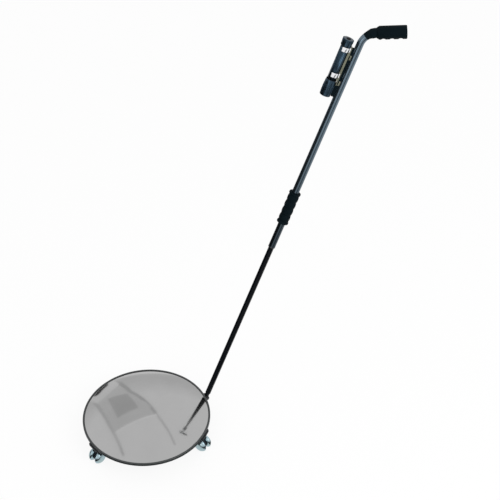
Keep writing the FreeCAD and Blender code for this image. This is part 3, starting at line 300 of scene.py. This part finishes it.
def moulded_plastic(name, dark, light, roughness):
    """Injection-moulded plastic with a spark-eroded grain."""
    finish = Finish(name)
    cloud = finish.noise(scale=50, detail=3)
    grain = finish.noise(scale=2600)
    return finish.surface(
        Base_Color=finish.blend(cloud, dark, light),
        Roughness=roughness + cloud * 0.1,
        Normal=finish.bump(grain, depth=0.02),
    )


def plated_metal(name, dark, light, roughness, scuffing, patch=34):
    """Plated or bare metal: soft colour drift, fine scuffs and fingerprints."""
    finish = Finish(name)
    drift = finish.noise(scale=patch, detail=4)
    scuffs = finish.noise(scale=900, detail=3, stretch=(1, 0.08, 1))
    prints = finish.between(finish.noise(scale=95, detail=4), low=0.5, high=0.72)
    return finish.surface(
        Base_Color=finish.blend(drift, dark, light),
        Metallic=1.0,
        Roughness=roughness + scuffs * scuffing + prints * scuffing,
        Normal=finish.bump(scuffs, depth=0.006),
    )


def passivated_zinc(name):
    """Yellow-green passivated strip: metal with a patchy chromate film."""
    dark_khaki, light_khaki, brown = (0.13, 0.135, 0.10), (0.24, 0.25, 0.19), (0.21, 0.19, 0.12)
    finish = pole_finish(name)
    tone = finish.noise(scale=55, detail=5)
    bloom = finish.between(finish.noise(scale=240, detail=4), low=0.48, high=0.7)
    rolled = finish.noise(scale=1400, stretch=(1, 1, 0.02))
    khaki = finish.blend(tone, dark_khaki, light_khaki)
    return finish.surface(
        Base_Color=finish.blend(bloom * 0.5, khaki, brown),
        Metallic=0.8,
        Roughness=0.3 + tone * 0.16,
        Normal=finish.bump(rolled, depth=0.01),
    )


def silvered_acrylic(name):
    """Second-surface mirror sheet: grey reflection, wiped haze and hairlines."""
    hazed, bright = (0.395, 0.395, 0.395), (0.430, 0.430, 0.430)
    finish = Finish(name)
    haze = finish.noise(scale=16, detail=4)
    wipes = finish.noise(scale=60, detail=3, stretch=(1, 0.16, 1))
    wiped = finish.between(wipes, low=0.5, high=0.75)
    hairs = finish.between(finish.noise(scale=900, stretch=(1, 0.015, 1)), low=0.68, high=0.76)
    return finish.surface(
        Base_Color=finish.blend(haze, hazed, bright),
        Metallic=1.0,
        Roughness=0.09 + wiped * 0.02 + hairs * 0.05,
        Coat_Weight=0.2 + haze * 0.1,
    )


def clear_lens(name):
    """Clear moulded lens, a little marked."""
    clear, marked = (0.92, 0.97, 1.0), (0.75, 0.8, 0.85)
    finish = Finish(name)
    marks = finish.between(finish.noise(scale=500, detail=3), low=0.6, high=0.8)
    return finish.surface(
        Base_Color=finish.blend(marks * 0.2, clear, marked),
        Roughness=0.02 + marks * 0.08,
        Transmission_Weight=1.0,
        IOR=1.49,
    )


def phosphor(name):
    """Lamp module: grainy yellow phosphor."""
    deep, pale = (0.85, 0.72, 0.22), (0.9, 0.86, 0.5)
    finish = Finish(name)
    grain = finish.noise(scale=1800)
    return finish.surface(
        Base_Color=finish.blend(grain, deep, pale),
        Roughness=0.35 + grain * 0.2,
        Normal=finish.bump(grain, depth=0.03),
    )


def shrunk_wrap(name):
    """Shrink sleeve of a dry cell: two plain slate colours, with creases along it."""
    dark_slate, light_slate = (0.10, 0.12, 0.16), (0.16, 0.18, 0.22)
    finish = Finish(name, TORCH, (0, LEAN, 0))
    creases = finish.noise(scale=420, detail=3, stretch=(1, 1, 0.1))
    patch = finish.between(finish.noise(scale=30), low=0.45, high=0.55)
    return finish.surface(
        Base_Color=finish.blend(patch, dark_slate, light_slate),
        Roughness=0.3 + creases * 0.1,
        Normal=finish.bump(creases, depth=0.03),
    )


# For each way of finishing: the material slots that have it, and what sets them apart.
RECIPES = {
    coated_steel: {
        "black_steel": dict(
            dark=(0.008, 0.010, 0.012), light=(0.016, 0.019, 0.022), roughness=0.38
        ),
        "plate_steel": dict(
            dark=(0.016, 0.017, 0.019), light=(0.03, 0.031, 0.034), roughness=0.45
        ),
        "black_fasteners": dict(
            dark=(0.010, 0.011, 0.013), light=(0.022, 0.023, 0.026), roughness=0.3
        ),
        "caster_black": dict(
            dark=(0.006, 0.008, 0.012), light=(0.012, 0.015, 0.022), roughness=0.3
        ),
    },
    drawn_tube: {
        "tube_lower": dict(
            dark=(0.0010, 0.0018, 0.0030), light=(0.0025, 0.0038, 0.0058),
            metal=0.0, roughness=0.22, specular=0.10, streak=0.08,
        ),
        # Its two colour scales paint shade near the tube's sliding end and a little light above.
        "tube_upper": dict(
            dark=(0.085, 0.118, 0.150), light=(0.13, 0.178, 0.215),
            metal=0.95, roughness=0.11, specular=0.5, shaded_scale=0.35, lit_scale=1.1,
        ),
        "torch_black": dict(
            dark=(0.020, 0.036, 0.055), light=(0.040, 0.070, 0.098),
            metal=0.95, roughness=0.14, specular=0.5,
        ),
    },
    moulded_rubber: {
        "edge_rubber": dict(
            dark=(0.006, 0.009, 0.010), light=(0.012, 0.017, 0.018),
            roughness=0.26, grain=1300, depth=0.01, specular=0.8, on_pole=False,
        ),
        "grip_rubber": dict(
            dark=(0.0006, 0.0036, 0.0056), light=(0.0014, 0.0062, 0.0092),
            roughness=0.6, grain=1500, depth=0.05,
        ),
        "button_rubber": dict(
            dark=(0.012, 0.012, 0.013), light=(0.02, 0.02, 0.021),
            roughness=0.6, grain=2400, depth=0.02,
        ),
    },
    moulded_plastic: {
        "nylon": dict(dark=(0.50, 0.49, 0.44), light=(0.62, 0.61, 0.56), roughness=0.38),
        "black_plastic": dict(
            dark=(0.012, 0.013, 0.014), light=(0.022, 0.023, 0.025), roughness=0.36
        ),
    },
    plated_metal: {
        "zinc_fasteners": dict(
            dark=(0.42, 0.43, 0.46), light=(0.58, 0.59, 0.62), roughness=0.26, scuffing=0.1
        ),
        "brass": dict(
            dark=(0.60, 0.42, 0.15), light=(0.72, 0.54, 0.24), roughness=0.26, scuffing=0.12
        ),
        "clip_chrome": dict(
            dark=(0.80, 0.81, 0.83), light=(0.88, 0.89, 0.91), roughness=0.08, scuffing=0.05
        ),
        "reflector_bright": dict(
            dark=(0.86, 0.86, 0.86), light=(0.92, 0.92, 0.92), roughness=0.05, scuffing=0.05
        ),
        "spring_steel": dict(
            dark=(0.5, 0.5, 0.5), light=(0.66, 0.66, 0.67), roughness=0.2, scuffing=0.08
        ),
        "caster_chrome": dict(
            dark=(0.38, 0.48, 0.43), light=(0.35, 0.48, 0.60),
            roughness=0.19, scuffing=0.06, patch=60,
        ),
        "caster_steel": dict(
            dark=(0.40, 0.41, 0.43), light=(0.56, 0.57, 0.59), roughness=0.28, scuffing=0.1
        ),
    },
    passivated_zinc: {"khaki_steel": {}},
    silvered_acrylic: {"mirror_face": {}},
    clear_lens: {"lens_clear": {}},
    phosphor: {"led_yellow": {}},
    shrunk_wrap: {"cell_wrap": {}},
}
FINISHES = {
    slot: make_finish(slot, **recipe)
    for make_finish, slots in RECIPES.items()
    for slot, recipe in slots.items()
}


# ---------------------------------------------------------------- mesh helpers

def standing(origin, z_axis=TOP, x_axis=None):
    """The matrix that carries a shape made about +Z to an axis through a point."""
    z_axis = z_axis.normalized()
    x_axis = x_axis or (OUT if abs(z_axis.dot(OUT)) < 0.5 else SIDE)
    y_axis = z_axis.cross(x_axis).normalized()
    x_axis = y_axis.cross(z_axis)
    turn = Matrix((x_axis, y_axis, z_axis)).transposed().to_4x4()
    return Matrix.Translation(origin) @ turn


def offsets(node, origin):
    """The vertices of a CAD node, measured from a point."""
    return [vertex.co - origin for vertex in frame["nodes"][node].data.vertices]


def reach(points, axis):
    """How far points reach along an axis through the origin, and how far out from it."""
    heights = [point.dot(axis) for point in points]
    radii = [(point - axis * height).length for point, height in zip(points, heights)]
    return SimpleNamespace(low=min(heights), high=max(heights), radius=max(radii))


def measured(node, origin, axis):
    """How far a CAD node reaches along an axis through a point, and how far out from it."""
    return reach(offsets(node, origin), axis)


def shaded(mesh, finish, angle):
    """Smooth the mesh except over edges sharper than the angle, and give it its finish."""
    mesh.shade_smooth()
    mesh.set_sharp_from_angle(angle=math.radians(angle))
    mesh.materials.clear()
    mesh.materials.append(FINISHES[finish])
    return mesh


def linked(name, data):
    """An object of the scene that holds a mesh, a lamp or a camera."""
    holder = bpy.data.objects.new(name, data)
    bpy.context.scene.collection.objects.link(holder)
    return holder


def added(name, mesh, node, angle):
    """A detail that rides with a CAD node and has its finish."""
    piece = linked(name, shaded(mesh, SLOTS[node], angle))
    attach(piece, frame["nodes"][node]["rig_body"])
    return piece


def shown(name, mesh, node, angle):
    """A finished piece that stands for a CAD node and rides with it."""
    piece = added(name, mesh, node, angle)
    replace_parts(piece, node)


def cleaned(name, work):
    """The work as a mesh, with doubles merged and every face turned outwards."""
    bmesh.ops.remove_doubles(work, verts=work.verts, dist=MERGE)
    bmesh.ops.recalc_face_normals(work, faces=work.faces)
    mesh = bpy.data.meshes.new(name)
    work.to_mesh(mesh)
    work.free()
    return mesh


def applied(holder):
    """The evaluated mesh of an object, which is then removed."""
    depsgraph = bpy.context.evaluated_depsgraph_get()
    mesh = bpy.data.meshes.new_from_object(holder.evaluated_get(depsgraph))
    bpy.data.objects.remove(holder)
    return mesh


def turned_mesh(name, outline, place, steps=96):
    """A solid of revolution from (radius, height) points.

    A closed outline repeats its first point; an open one starts and ends on the axis.
    """
    work = bmesh.new()
    closed = (Vector(outline[0]) - Vector(outline[-1])).length < MERGE
    points = outline[:-1] if closed else outline
    columns = []
    for step in range(steps):
        angle = math.radians(360 * step / steps)
        turn = Vector((math.cos(angle), math.sin(angle), 0))
        columns.append([work.verts.new(place @ (turn * r + TOP * z)) for r, z in points])
    for left, right in zip(columns, columns[1:] + columns[:1]):
        for low in range(len(points) if closed else len(points) - 1):
            high = (low + 1) % len(points)
            work.faces.new((left[low], right[low], right[high], left[high]))
    bmesh.ops.remove_doubles(work, verts=work.verts, dist=MERGE)
    bmesh.ops.dissolve_degenerate(work, edges=work.edges, dist=MERGE)
    return cleaned(name, work)


def sleeve_mesh(name, path, radii, bore, across, steps=48):
    """A closed sleeve along a flat path; across is the way at right angles to its plane."""
    work = bmesh.new()
    turns = [WHOLE_TURN * step / steps for step in range(steps)]
    outer, inner = [], []
    for index, (point, radius) in enumerate(zip(path, radii)):
        ahead = path[min(index + 1, len(path) - 1)] - path[max(index - 1, 0)]
        outward = ahead.cross(across).normalized()
        spokes = [outward * math.cos(turn) + across * math.sin(turn) for turn in turns]
        outer.append([work.verts.new(point + spoke * radius) for spoke in spokes])
        inner.append([work.verts.new(point + spoke * bore) for spoke in spokes])
    rows = outer + inner[::-1]
    for lower, upper in zip(rows, rows[1:] + rows[:1]):
        for step in range(steps):
            after = (step + 1) % steps
            work.faces.new((lower[step], lower[after], upper[after], upper[step]))
    return cleaned(name, work)


# ---------------------------------------------------------------- patterns

class Pattern(Graph):
    """A geometry-nodes tree with named sizes that shapes one starting mesh."""

    def __init__(self, name):
        super().__init__(bpy.data.node_groups.new(name, "GeometryNodeTree"))
        self.socket("Start", "INPUT", "Geometry")
        self.socket("Result", "OUTPUT", "Geometry")
        self.entry = self.tree.nodes.new("NodeGroupInput")
        self.start = Value(self, self.entry.outputs["Start"])
        self.identifiers = {}

    def socket(self, name, way, kind):
        return self.tree.interface.new_socket(name, in_out=way, socket_type="NodeSocket" + kind)

    def size(self, name, kind="Float"):
        self.identifiers[name] = self.socket(name, "INPUT", kind).identifier
        return Value(self, self.entry.outputs[name])

    def close(self, geometry):
        """End the tree in Realize Instances and Set Material."""
        finish = self.size("finish", "Material")
        real = self.add("GeometryNodeRealizeInstances", None, {"Geometry": geometry})
        sockets = {"Geometry": real, "Material": finish}
        painted = self.add("GeometryNodeSetMaterial", None, sockets)
        self.add("NodeGroupOutput", None, {"Result": painted})
        return self

    def mesh(self, start, place, finish, **sizes):
        """Run the tree on a starting mesh and carry the result to its place."""
        holder = linked(self.tree.name, start)
        modifier = holder.modifiers.new("pattern", "NODES")
        modifier.node_group = self.tree
        for name, value in sizes.items():
            modifier[self.identifiers[name]] = value
        modifier[self.identifiers["finish"]] = FINISHES[finish]
        mesh = applied(holder)
        mesh.transform(place)
        return mesh


def ring_pattern():
    """Copies of the starting mesh on a circle about +Z, each turned to face out."""
    tree = Pattern("spaced_round")
    count = tree.size("count", "Int")
    radius = tree.size("radius")
    index = tree.add("GeometryNodeInputIndex")
    angle = index * WHOLE_TURN / count
    x = tree.maths("COSINE", angle) * radius
    y = tree.maths("SINE", angle) * radius
    where = tree.add("ShaderNodeCombineXYZ", None, {"X": x, "Y": y})
    points = tree.add("GeometryNodePoints", None, {"Count": count, "Position": where})
    turn = tree.add("ShaderNodeCombineXYZ", None, {"Z": angle})
    sockets = {"Points": points, "Instance": tree.start, "Rotation": turn}
    return tree.close(tree.add("GeometryNodeInstanceOnPoints", None, sockets))


def coil_pattern(steps=40, sides=12):
    """A wire wound along +Z, with so many steps to a turn and sides round the wire."""
    tree = Pattern("wound_wire")
    turns = tree.size("turns")
    radius = tree.size("radius")
    height = tree.size("height")
    wire = tree.size("wire")
    sockets = {
        "Resolution": steps, "Rotations": turns, "Height": height,
        "Start Radius": radius, "End Radius": radius,
    }
    spiral = tree.add("GeometryNodeCurveSpiral", None, sockets)
    sockets = {"Resolution": sides, "Radius": wire}
    section = tree.add("GeometryNodeCurvePrimitiveCircle", None, sockets)
    sockets = {"Curve": spiral, "Profile Curve": section, "Fill Caps": True}
    return tree.close(tree.add("GeometryNodeCurveToMesh", None, sockets))


# ---------------------------------------------------------------- the mirror

def make_mirror():
    """The silvered dome: a true spherical face, rolled into its flat flange."""
    thickness = 2.0 * MILLIMETRE
    face_steps, back_steps, round_steps = 64, 32, 192
    edge_band, level_band = 0.2 * MILLIMETRE, 0.02 * MILLIMETRE
    sheet = measured("convex_mirror", CENTRE, TOP)
    marks = offsets("convex_mirror", CENTRE)
    flange_top = max(mark.z for mark in marks if mark.xy.length > sheet.radius - edge_band)
    chord = min(mark.xy.length for mark in marks if abs(mark.z - flange_top) < level_band)
    rise = sheet.high - flange_top
    curve = (chord**2 + rise**2) / (2 * rise)
    face = []
    for step in range(face_steps + 1):
        radius = chord * step / face_steps
        face.append((radius, sheet.high - curve + math.sqrt(curve**2 - radius**2)))
    back = []
    inner_chord = chord - thickness
    for step in range(back_steps + 1):
        radius = inner_chord * (1 - step / back_steps)
        drop = math.sqrt((curve - thickness) ** 2 - radius**2)
        back.append((radius, max(sheet.low, sheet.high - curve + drop)))
    edge = [(sheet.radius, flange_top), (sheet.radius, sheet.low), (inner_chord, sheet.low)]
    place = standing(CENTRE, TOP, Vector((1, 0, 0)))
    mesh = turned_mesh("mirror_dome", face + edge + back, place, round_steps)
    shown("mirror_dome", mesh, "convex_mirror", angle=40)


make_mirror()


# ---------------------------------------------------------------- on the pole and its torch

RINGS = ring_pattern()
WIRE = coil_pattern()
AT_TORCH = standing(TORCH, UP)
AT_STRIP = standing(PIN, UP, TO_TORCH)


def knurl_bead(name, length, radius, steps=8):
    """One bead of knurling with rounded ends, lying along +Z from its foot."""
    shoulder, set_back = 0.7 * radius, 0.25 * radius
    foot = [(0, 0), (shoulder, set_back), (radius, radius)]
    head = [(radius, length - radius), (shoulder, length - set_back), (0, length)]
    return turned_mesh(name, foot + head, Matrix.Identity(4), steps)


def make_knurl(name, node, low, high):
    """A band of beads sunk to half their depth in a turned grip of the torch."""
    bead = knurl_bead(name + "_bead", high - low, radius=0.3 * MILLIMETRE)
    place = AT_TORCH @ Matrix.Translation(TOP * low)
    around = measured(node, TORCH, UP).radius
    added(name, RINGS.mesh(bead, place, SLOTS[node], count=44, radius=around), node, angle=40)


def make_seals():
    """Two moulded O-rings, each a ring of round section."""
    section_steps = 16
    marks = offsets("torch_seals", TORCH)
    both = reach(marks, UP)
    middle = (both.low + both.high) / 2
    work = bmesh.new()
    for side in (-1, 1):
        ring = reach([mark for mark in marks if (mark.dot(UP) - middle) * side > 0], UP)
        wire = (ring.high - ring.low) / 2
        turns = [WHOLE_TURN * step / section_steps for step in range(section_steps)]
        outline = [
            (ring.radius - wire + wire * math.cos(turn), ring.low + wire + wire * math.sin(turn))
            for turn in turns
        ]
        work.from_mesh(turned_mesh("seal", outline + outline[:1], AT_TORCH))
    shown("torch_seal_rings", cleaned("torch_seal_rings", work), "torch_seals", angle=60)


def make_spring():
    """The contact spring, wound from wire between its first and last turn."""
    wire = 0.5 * MILLIMETRE
    room = measured("torch_spring", TORCH, UP)
    place = AT_TORCH @ Matrix.Translation(TOP * (room.low + wire))
    coil = WIRE.mesh(
        bpy.data.meshes.new("spring_seed"), place, SLOTS["torch_spring"],
        turns=4.0, radius=room.radius - wire, height=room.high - room.low - 2 * wire, wire=wire,
    )
    shown("torch_contact_spring", coil, "torch_spring", angle=60)


def make_bars(name, node, spans, low, high):
    """Pairs of bars along the strip's two edges, each from low to high off the pole's axis."""
    off_middle, width, rounding = 4.35 * MILLIMETRE, 1.2 * MILLIMETRE, 0.25 * MILLIMETRE
    work = bmesh.new()
    for start, end in spans:
        for side in (-1, 1):
            corners = bmesh.ops.create_cube(work, size=1.0)["verts"]
            bmesh.ops.scale(work, verts=corners, vec=(high - low, width, end - start))
            middle = ((low + high) / 2, side * off_middle, (start + end) / 2)
            bmesh.ops.translate(work, verts=corners, vec=middle)
    bmesh.ops.bevel(work, geom=work.edges[:], offset=rounding, segments=2, affect="EDGES")
    mesh = cleaned(name, work)
    mesh.transform(AT_STRIP)
    added(name, mesh, node, angle=40)


def make_strip_walls():
    """The strip's folded edges beside the torch, and a black filler between strip and tube that
    paints the shade in that gap.
    """
    sheet, room, past_clip = 1.5 * MILLIMETRE, 0.5 * MILLIMETRE, 6.5 * MILLIMETRE
    fold_height, in_tube = 3.0 * MILLIMETRE, 6.9 * MILLIMETRE
    strip = measured("torch_rail", PIN, UP)
    face = measured("torch_rail", PIN, TO_TORCH).high
    lower, upper = (measured("torch_clip_" + end, PIN, UP) for end in ("lower", "upper"))
    spans = [(lower.low - past_clip, lower.low - room), (lower.high + room, upper.low - room)]
    make_bars("torch_rail_walls", "torch_rail", spans, face - sheet / 2, face + fold_height)
    spans = [(strip.low + sheet, strip.high - sheet)]
    # Painted shade: a black bar in the grip's finish fills the gap between strip and tube, where
    # there is only shade.
    make_bars("torch_rail_shade_filler", "mid_grip", spans, in_tube, face - sheet)


def make_torch_rest():
    """The rubber rest on the tube, hollowed to the torch's head."""
    in_tube, gap, set_back = 7.9 * MILLIMETRE, 0.6 * MILLIMETRE, 3 * MILLIMETRE
    half_width, length, steps = 4.5 * MILLIMETRE, 29 * MILLIMETRE, 12
    offset = (TORCH - PIN).dot(TO_TORCH)
    hollow = measured("torch_head", TORCH, UP).radius + gap
    start = (TORCH - PIN).dot(UP) + set_back
    across = [half_width * (2 * step / steps - 1) for step in range(steps + 1)]
    section = [(math.sqrt(in_tube**2 - y**2), y) for y in across]
    section += [(offset - math.sqrt(hollow**2 - y**2), y) for y in reversed(across)]
    work = bmesh.new()
    ends = [[work.verts.new((x, y, start + rise)) for x, y in section] for rise in (0, length)]
    for step in range(len(section)):
        after = (step + 1) % len(section)
        work.faces.new((ends[0][step], ends[0][after], ends[1][after], ends[1][step]))
    for end in ends:
        work.faces.new(end)
    mesh = cleaned("torch_rest", work)
    mesh.transform(AT_STRIP)
    added("torch_rest", mesh, "mid_grip", angle=40)


def make_cuff_lip():
    """The handle grip's soft lip, thinning out over the tube's bend."""
    bend_start, bend_radius, tube = 968.2 * MILLIMETRE, 38.1 * MILLIMETRE, 8.0 * MILLIMETRE
    first_turn, last_turn, steps = 30.0, 51.0, 14
    thin_end, swelling, flare = 0.15, 2.1, 1.5
    path, radii = [], []
    for step in range(steps + 1):
        share = step / steps
        turn = math.radians(first_turn + (last_turn - first_turn) * share)
        along = UP * math.sin(turn) - TO_TORCH * (1 - math.cos(turn))
        path.append(PIN + UP * bend_start + along * bend_radius)
        radii.append(tube + (thin_end + swelling * share**flare) * MILLIMETRE)
    bore = tube - 0.2 * MILLIMETRE
    mesh = sleeve_mesh("handle_cuff_lip", path, radii, bore, UP.cross(TO_TORCH).normalized())
    added("handle_cuff_lip", mesh, "handle_grip", angle=50)


make_seals()
make_spring()
make_strip_walls()
make_torch_rest()
make_cuff_lip()
make_knurl("head_knurl", "torch_head", low=7 * MILLIMETRE, high=27 * MILLIMETRE)
make_knurl("tailcap_knurl", "torch_tailcap", low=128 * MILLIMETRE, high=135 * MILLIMETRE)


# ---------------------------------------------------------------- remaining nodes

# How far the corners of each of these nodes are broken, in millimetres.
BROKEN_EDGES = {
    "base_spider": 0.5,
    "tilt_bracket": 0.4,
    "pole_knuckle": 0.3,
    "torch_rail": 0.25,
    "torch_clip_lower": 0.2,
    "torch_clip_upper": 0.2,
    "tilt_nut": 0.25,
    "tilt_bolt": 0.25,
    "caster_bushings": 0.1,
    "caster_right_horn": 0.4,
    "caster_rear_horn": 0.4,
    "caster_left_horn": 0.4,
}


def finished(node, edge):
    """A merged copy of a CAD node; with an edge, its flat faces are joined and corners broken."""
    flat_angle, corner_angle = math.radians(0.4), math.radians(40)
    mesh = frame["nodes"][node].data.copy()
    work = bmesh.new()
    work.from_mesh(mesh)
    bmesh.ops.remove_doubles(work, verts=work.verts, dist=MERGE)
    if edge:
        bmesh.ops.dissolve_limit(
            work, angle_limit=flat_angle, verts=work.verts, edges=work.edges
        )
    work.to_mesh(mesh)
    work.free()
    if edge:
        holder = linked(node + "_work", mesh)
        bevel = holder.modifiers.new("broken_edge", "BEVEL")
        bevel.width = edge
        bevel.segments = 2
        bevel.limit_method = "ANGLE"
        bevel.angle_limit = corner_angle
        mesh = applied(holder)
    shown(node + "_finished", mesh, node, angle=32)


stood_for = {name for piece in bpy.data.objects for name in piece.get("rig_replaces", [])}
for node in sorted(set(frame["nodes"]) - stood_for):
    finished(node, BROKEN_EDGES.get(node, 0.0) * MILLIMETRE)


# ---------------------------------------------------------------- studio

# Corners of the cards, and the points that the seams run through.
FLOOR_CORNERS = [(-9, -9, FLOOR), (9, -9, FLOOR), (9, 9, FLOOR), (-9, 9, FLOOR)]
BACK_WALL = [(-6, 4.6, 0), (6, 4.6, 0), (6, 4.6, 4.2), (-6, 4.6, 4.2)]
TENT_END = [
    (-0.58, 3.67, 1.48), (-0.06, 3.78, 1.31), (0.52, 3.81, 1.11),
    (0.68, 3.54, 1.74), (1.06, 2.56, 2.88), (1.20, 1.80, 3.36),
    (0.14, 1.89, 3.52), (-1.13, 1.83, 3.37), (-0.96, 2.87, 2.62),
]
TENT_GAP = [
    (-0.48, 3.50, FLOOR), (0.50, 3.62, FLOOR), (0.52, 3.60, 0.60),
    (0.45, 3.59, 0.77), (0.08, 3.55, 1.05), (-0.32, 3.47, 1.23), (-0.54, 3.43, 1.28),
]
TENT_HEM = [
    (0.32, 3.32, FLOOR), (0.24, 3.33, 0.24), (0.05, 3.34, 0.40), (-0.09, 3.34, 0.54),
    (-0.22, 3.34, 0.62), (-0.29, 3.33, 0.52), (-0.29, 3.33, FLOOR),
]
GREY_PANEL = [(-0.18, 3.22, 1.37), (0.46, 3.08, 1.62), (0.49, 2.27, 2.64), (-0.49, 2.26, 2.65)]
RIGHT_SEAM_TOP = [(0.55, 3.80, 0.33), (0.65, 3.41, 1.67), (1.02, 2.46, 2.78), (1.13, 1.86, 3.18)]
RIGHT_SEAM = [(1.13, 1.86, 3.18), (1.24, 1.14, 3.46), (1.32, 0.54, 3.57), (1.34, -0.34, 3.59)]
LEFT_SEAM = [
    (-0.58, 3.64, 1.11), (-0.68, 3.42, 1.63), (-0.92, 2.76, 2.52),
    (-1.14, 1.80, 3.21), (-1.26, 1.01, 3.49), (-1.40, 0.27, 3.58),
]
CROSS_SEAM = [
    (-1.02, 1.66, 3.06), (-0.43, 1.71, 3.17), (0.13, 1.71, 3.19),
    (0.62, 1.70, 3.14), (1.09, 1.63, 3.05),
]


def seen_or_lit(graph, lit, seen, shadow_share=0.0):
    """Plain white to the camera and in reflections, a lit surface to everything else.

    The shadow share is how much of the lit surface, and so of its shadows, is seen too.
    """
    rays = graph.tree.nodes.new("ShaderNodeLightPath")
    kinds = ["Is Camera Ray", "Is Glossy Ray", "Is Transmission Ray"]
    camera, glossy, through = (Value(graph, rays.outputs[kind]) for kind in kinds)
    share = graph.maths("MINIMUM", camera + glossy + through, 1.0) * (1 - shadow_share)
    return graph.add("ShaderNodeMixShader", None, {0: share, 1: lit, 2: seen})


def staged(name, corners, material):
    """A flat sheet of the studio, which isn't part of the mirror."""
    mesh = bpy.data.meshes.new(name)
    mesh.from_pydata(corners, [], [tuple(range(len(corners)))])
    mesh.materials.append(material)
    sheet = linked(name, mesh)
    return sheet


def make_floor():
    """A white floor that keeps a tenth of its shading, so the object has a soft shadow."""
    off_white = (0.94, 0.94, 0.94, 1.0)
    finish = Finish("studio_floor")
    lit = finish.add("ShaderNodeBsdfDiffuse", None, {"Color": off_white})
    surface = seen_or_lit(finish, lit, finish.glow(WHITE), shadow_share=0.10)
    staged("studio_floor", FLOOR_CORNERS, finish.close(surface))


def make_world():
    """Soft light from all round, in front of plain white."""
    world = bpy.data.worlds.new("studio")
    world.use_nodes = True
    bpy.context.scene.world = world
    graph = Graph(world.node_tree)
    graph.tree.nodes.clear()
    lit, seen = (
        graph.add("ShaderNodeBackground", None, {"Color": WHITE, "Strength": strength})
        for strength in (0.8, 1.0)
    )
    graph.add("ShaderNodeOutputWorld", None, {"Surface": seen_or_lit(graph, lit, seen)})


def make_lamp(name, place, side, watts):
    """A square lamp that faces the middle of the object."""
    target = Vector((0.2, 0, 0.4))
    lamp = bpy.data.lights.new(name, "AREA")
    lamp.shape = "SQUARE"
    lamp.size = side
    lamp.energy = watts
    holder = linked(name, lamp)
    holder.location = place
    holder.rotation_euler = (target - Vector(place)).to_track_quat("-Z", "Y").to_euler()


def make_card(name, corners, brightness, fade=None):
    """A card that only shows in reflections, so it neither lights nor shades the object.

    With a fade, it goes from its own brightness to white between those two heights.
    """
    mottle = 0.08
    finish = Finish(name)
    share = finish.noise(scale=1.4) * mottle - mottle / 2 + brightness
    if fade:
        share = share + finish.between(finish.height(), *fade, 0.0, 1 - brightness)
    card = staged(name, corners, finish.close(finish.glow(share)))
    card.visible_camera = False
    card.visible_diffuse = False
    card.visible_transmission = False
    card.visible_shadow = False


def spread(first, last, near, far, steps=12):
    """A flat ring of cloth on the floor round the mirror, between two directions in degrees."""
    height = FLOOR + 2 * MILLIMETRE
    turns = [math.radians(first + (last - first) * step / steps) for step in range(steps + 1)]
    outer, inner = (
        [(radius * math.cos(turn), radius * math.sin(turn), height) for turn in turns]
        for radius in (far, near)
    )
    return outer + inner[::-1]


def make_seam(name, points, width, brightness):
    """A strip of tent wall seen edge on in the mirror: one card for each run."""
    for number, (start, end) in enumerate(zip(points, points[1:])):
        start, end = Vector(start), Vector(end)
        across = (end - start).cross(start).normalized() * width / 2
        corners = [start - across, start + across, end + across, end - across]
        make_card(f"{name}_{number}", corners, brightness)


def make_flags(name, first, last, count, fade):
    """Upright black flags in an arc round the object, which fade out towards their tops."""
    middle, radius, black = 0.3, 2.6, 0.04
    top = fade[1]
    for step in range(count):
        turns = [math.radians(first + (last - first) * (step + end) / count) for end in (0, 1)]
        near, far = (
            Vector((middle + radius * math.cos(turn), radius * math.sin(turn), 0))
            for turn in turns
        )
        corners = [near + TOP * FLOOR, far + TOP * FLOOR, far + TOP * top, near + TOP * top]
        make_card(f"{name}_{step}", corners, black, fade)


def make_camera():
    """A long lens above the mirror and to one side of the pole, rolled a little."""
    place = (-0.7736, -2.1573, 2.5170)
    forward = Vector((0.32988, 0.67705, -0.6579)).normalized()
    roll = math.radians(-0.63)
    camera = bpy.data.cameras.new("camera")
    camera.lens = 102.24
    camera.sensor_width = 36.0
    camera.clip_start = 0.05
    camera.clip_end = 50.0
    right = forward.cross(TOP).normalized()
    above = right.cross(forward)
    right, above = (
        right * math.cos(roll) + above * math.sin(roll),
        above * math.cos(roll) - right * math.sin(roll),
    )
    turn = Matrix((right, above, -forward)).transposed().to_4x4()
    holder = linked("camera", camera)
    holder.matrix_world = Matrix.Translation(place) @ turn
    bpy.context.scene.camera = holder


make_floor()
make_world()
make_lamp("key_light", place=(0.9, -2.0, 1.9), side=1.5, watts=22)
make_lamp("fill_light", place=(-1.9, -1.3, 1.3), side=1.2, watts=6)

# Cloths on the floor and upright flags darken one side of each tube; the floor stays white.
make_card("black_cloth_left", spread(85, 204, near=0.24, far=8.5), brightness=0.012)
make_card("black_cloth_front", spread(190, 325, near=0.172, far=0.45), brightness=0.03)
make_card("grey_cloth_right", spread(262, 298, near=0.45, far=5.0), brightness=0.30)
make_flags("low_flag", first=129, last=151, count=2, fade=(0.9, 1.5))
make_flags("tall_flag", first=151, last=212, count=6, fade=(1.1, 2.6))

# The tent round the object: a wall behind it, then its end with a gap over a dark hem, the
# seams down both sides and across, and a grey panel.
make_card("back_wall", BACK_WALL, brightness=0.76, fade=(0.0, 4.0))
make_card("tent_end", TENT_END, brightness=0.81)
make_card("tent_gap", TENT_GAP, brightness=0.94)
make_card("tent_hem", TENT_HEM, brightness=0.05)
make_seam("right_seam_top", RIGHT_SEAM_TOP, width=0.15, brightness=0.60)
make_seam("right_seam", RIGHT_SEAM, width=0.11, brightness=0.70)
make_seam("left_seam", LEFT_SEAM, width=0.13, brightness=0.68)
make_seam("cross_seam", CROSS_SEAM, width=0.07, brightness=1.15)
make_card("grey_panel", GREY_PANEL, brightness=0.64)
make_camera()
bpy.context.scene.view_settings.view_transform = "Standard"
